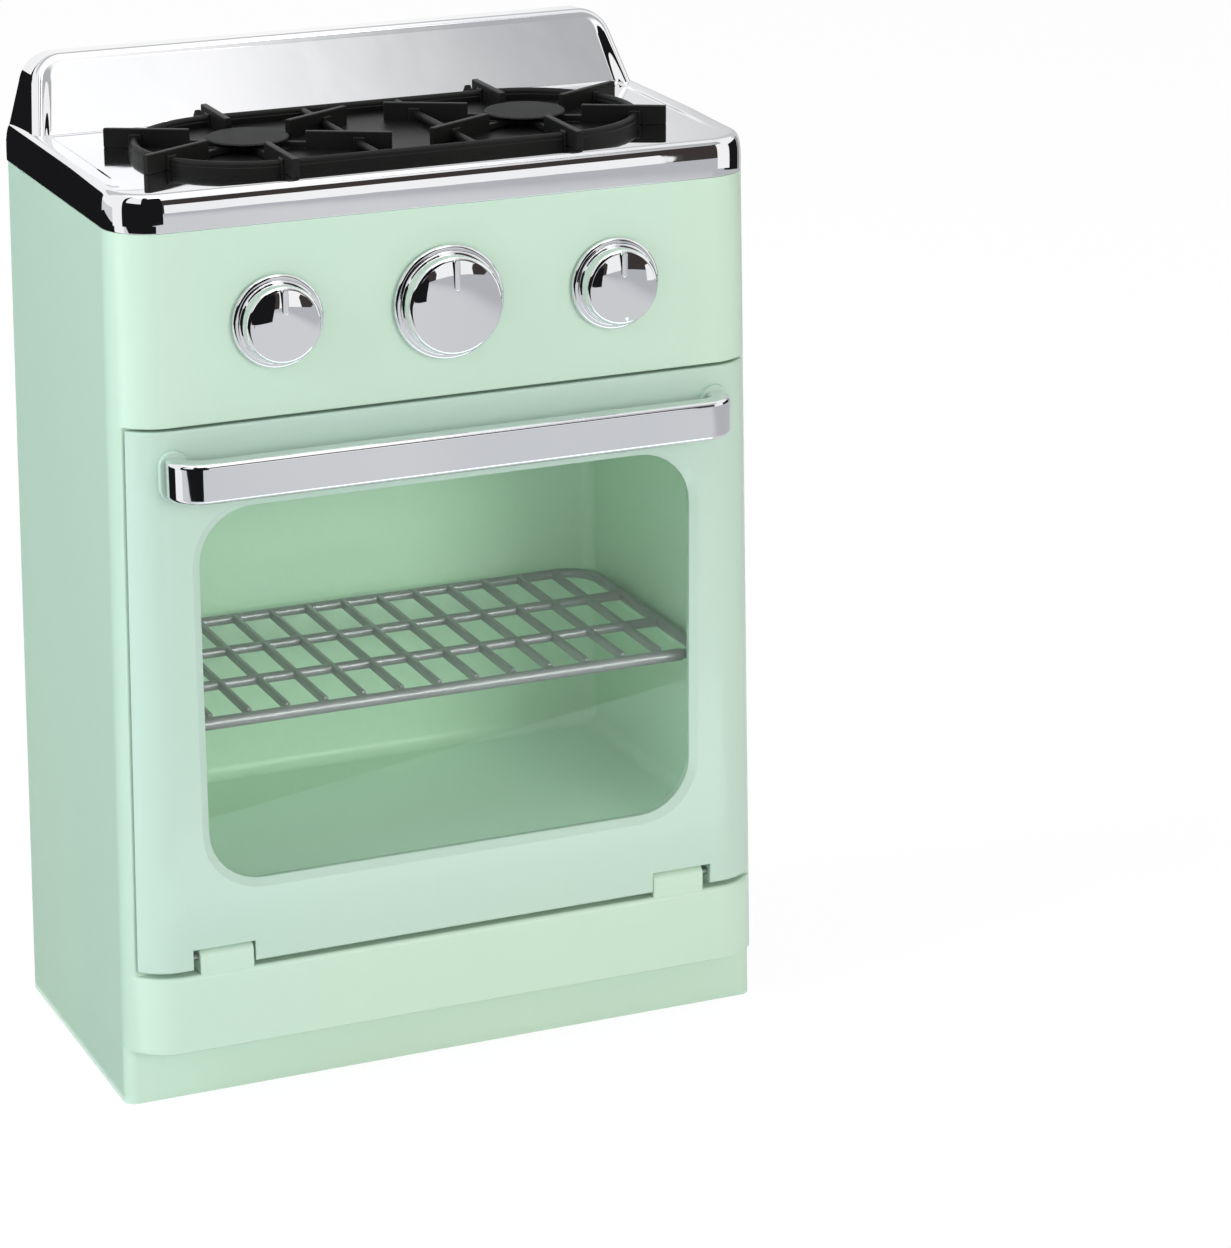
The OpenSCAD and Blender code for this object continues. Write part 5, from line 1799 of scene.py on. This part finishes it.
    def build(self) -> None:
        """Sets up the camera, the world, the floor, the cards and the lamps."""
        bpy.context.scene.view_settings.view_transform = "Standard"
        self.camera()
        self.world()
        self.floor()
        self.cards()
        self.lamp("key", (0.6, -1.85, 0.62), 0.75, 12.0)
        self.lamp("front", (-0.3, -1.9, 0.5), 1.0, 3.0)
        self.lamp("fill", (-1.6, -0.1, 0.9), 1.2, 20.0, (0.83, 0.94, 1.0))


@dataclass
class Oven:
    """The whole toy: it builds the sub-assemblies, ties them to the frame and dresses what stays."""

    nodes: dict[str, bpy.types.Object]
    finishes: Finishes
    knob_pitch: float = 50.3
    knob_d: float = 26.6
    big_knob_d: float = 32.8

    def put(self, kind: Piece, finish: Material, body: str, node: str) -> None:
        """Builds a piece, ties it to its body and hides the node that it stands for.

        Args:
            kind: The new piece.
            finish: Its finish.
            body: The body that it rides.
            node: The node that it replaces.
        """
        piece = kind.make(finish)
        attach(piece, body)
        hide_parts(node)
        log.info("%s: %d faces, rides %s, stands for %s", piece.name, len(piece.data.polygons), body, node)

    def dress(self, material: Material, *nodes: str) -> None:
        """Gives CAD nodes that stay their finish.

        Args:
            material: The finish.
            nodes: Their names.
        """
        for node in nodes:
            mesh = self.nodes[node].data
            mesh.materials.clear()
            mesh.materials.append(material)
            log.info("%s: dressed in %s", node, material.name)

    def cabinet(self) -> None:
        """Cabinet, cooktop, grate, caps, liner and the covers and screws that ride with it."""
        look = self.finishes
        self.put(CabinetShell(), look.mint, "cabinet", "cabinet")
        self.put(Cooktop(), look.plating, "cabinet", "cooktop")
        self.put(Grate(), look.black, "cabinet", "burner_grate")
        for side in Side:
            self.put(BurnerCap(side), look.cap, "cabinet", f"burner_cap_{side.name.lower()}")
        self.put(CavityLiner(), look.cavity, "cabinet", "oven_liner")
        self.dress(look.mint, "base_plate", "rear_cover")
        self.dress(look.steel, "base_screws", "cover_screws", "liner_screws", "cooktop_screws")
        self.dress(look.spring, "click_springs", "door_catch")

    def door(self) -> None:
        """Door moulding, its frame, pane, handle, screws and pins."""
        look = self.finishes
        self.put(DoorShell(), look.door, "door", "door_shell")
        self.put(WindowPane(), look.clear, "door", "window_pane")
        self.put(Handle(), look.plating, "door", "door_handle")
        self.dress(look.door, "door_liner")
        self.dress(look.steel, "door_screws", "handle_screws", "hinge_pins")

    def knobs(self) -> None:
        """Three knobs with their collars and screws."""
        look, pitch, small = self.finishes, self.knob_pitch, self.knob_d
        for place, *sizes in (("left", -pitch, small, 0.9), ("centre", 0.0, self.big_knob_d, 0.8),
                              ("right", pitch, small, 0.9)):
            self.put(Knob(f"plated_knob_{place}", *sizes), look.plating, f"{place}_knob", f"knob_{place}")
            self.dress(look.spring, f"collar_{place}")
            self.dress(look.steel, f"knob_screw_{place}")

    def rack(self) -> None:
        """Sliding rack."""
        self.put(Rack(), self.finishes.wire, "rack", "oven_rack")


def main() -> None:
    """Loads the frame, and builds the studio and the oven."""
    logging.basicConfig(level=logging.INFO, format="%(name)s: %(message)s")
    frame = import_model()
    Studio().build()
    oven = Oven(frame["nodes"], Finishes())
    oven.cabinet()
    oven.door()
    oven.knobs()
    oven.rack()


if __name__ == "__main__":
    main()
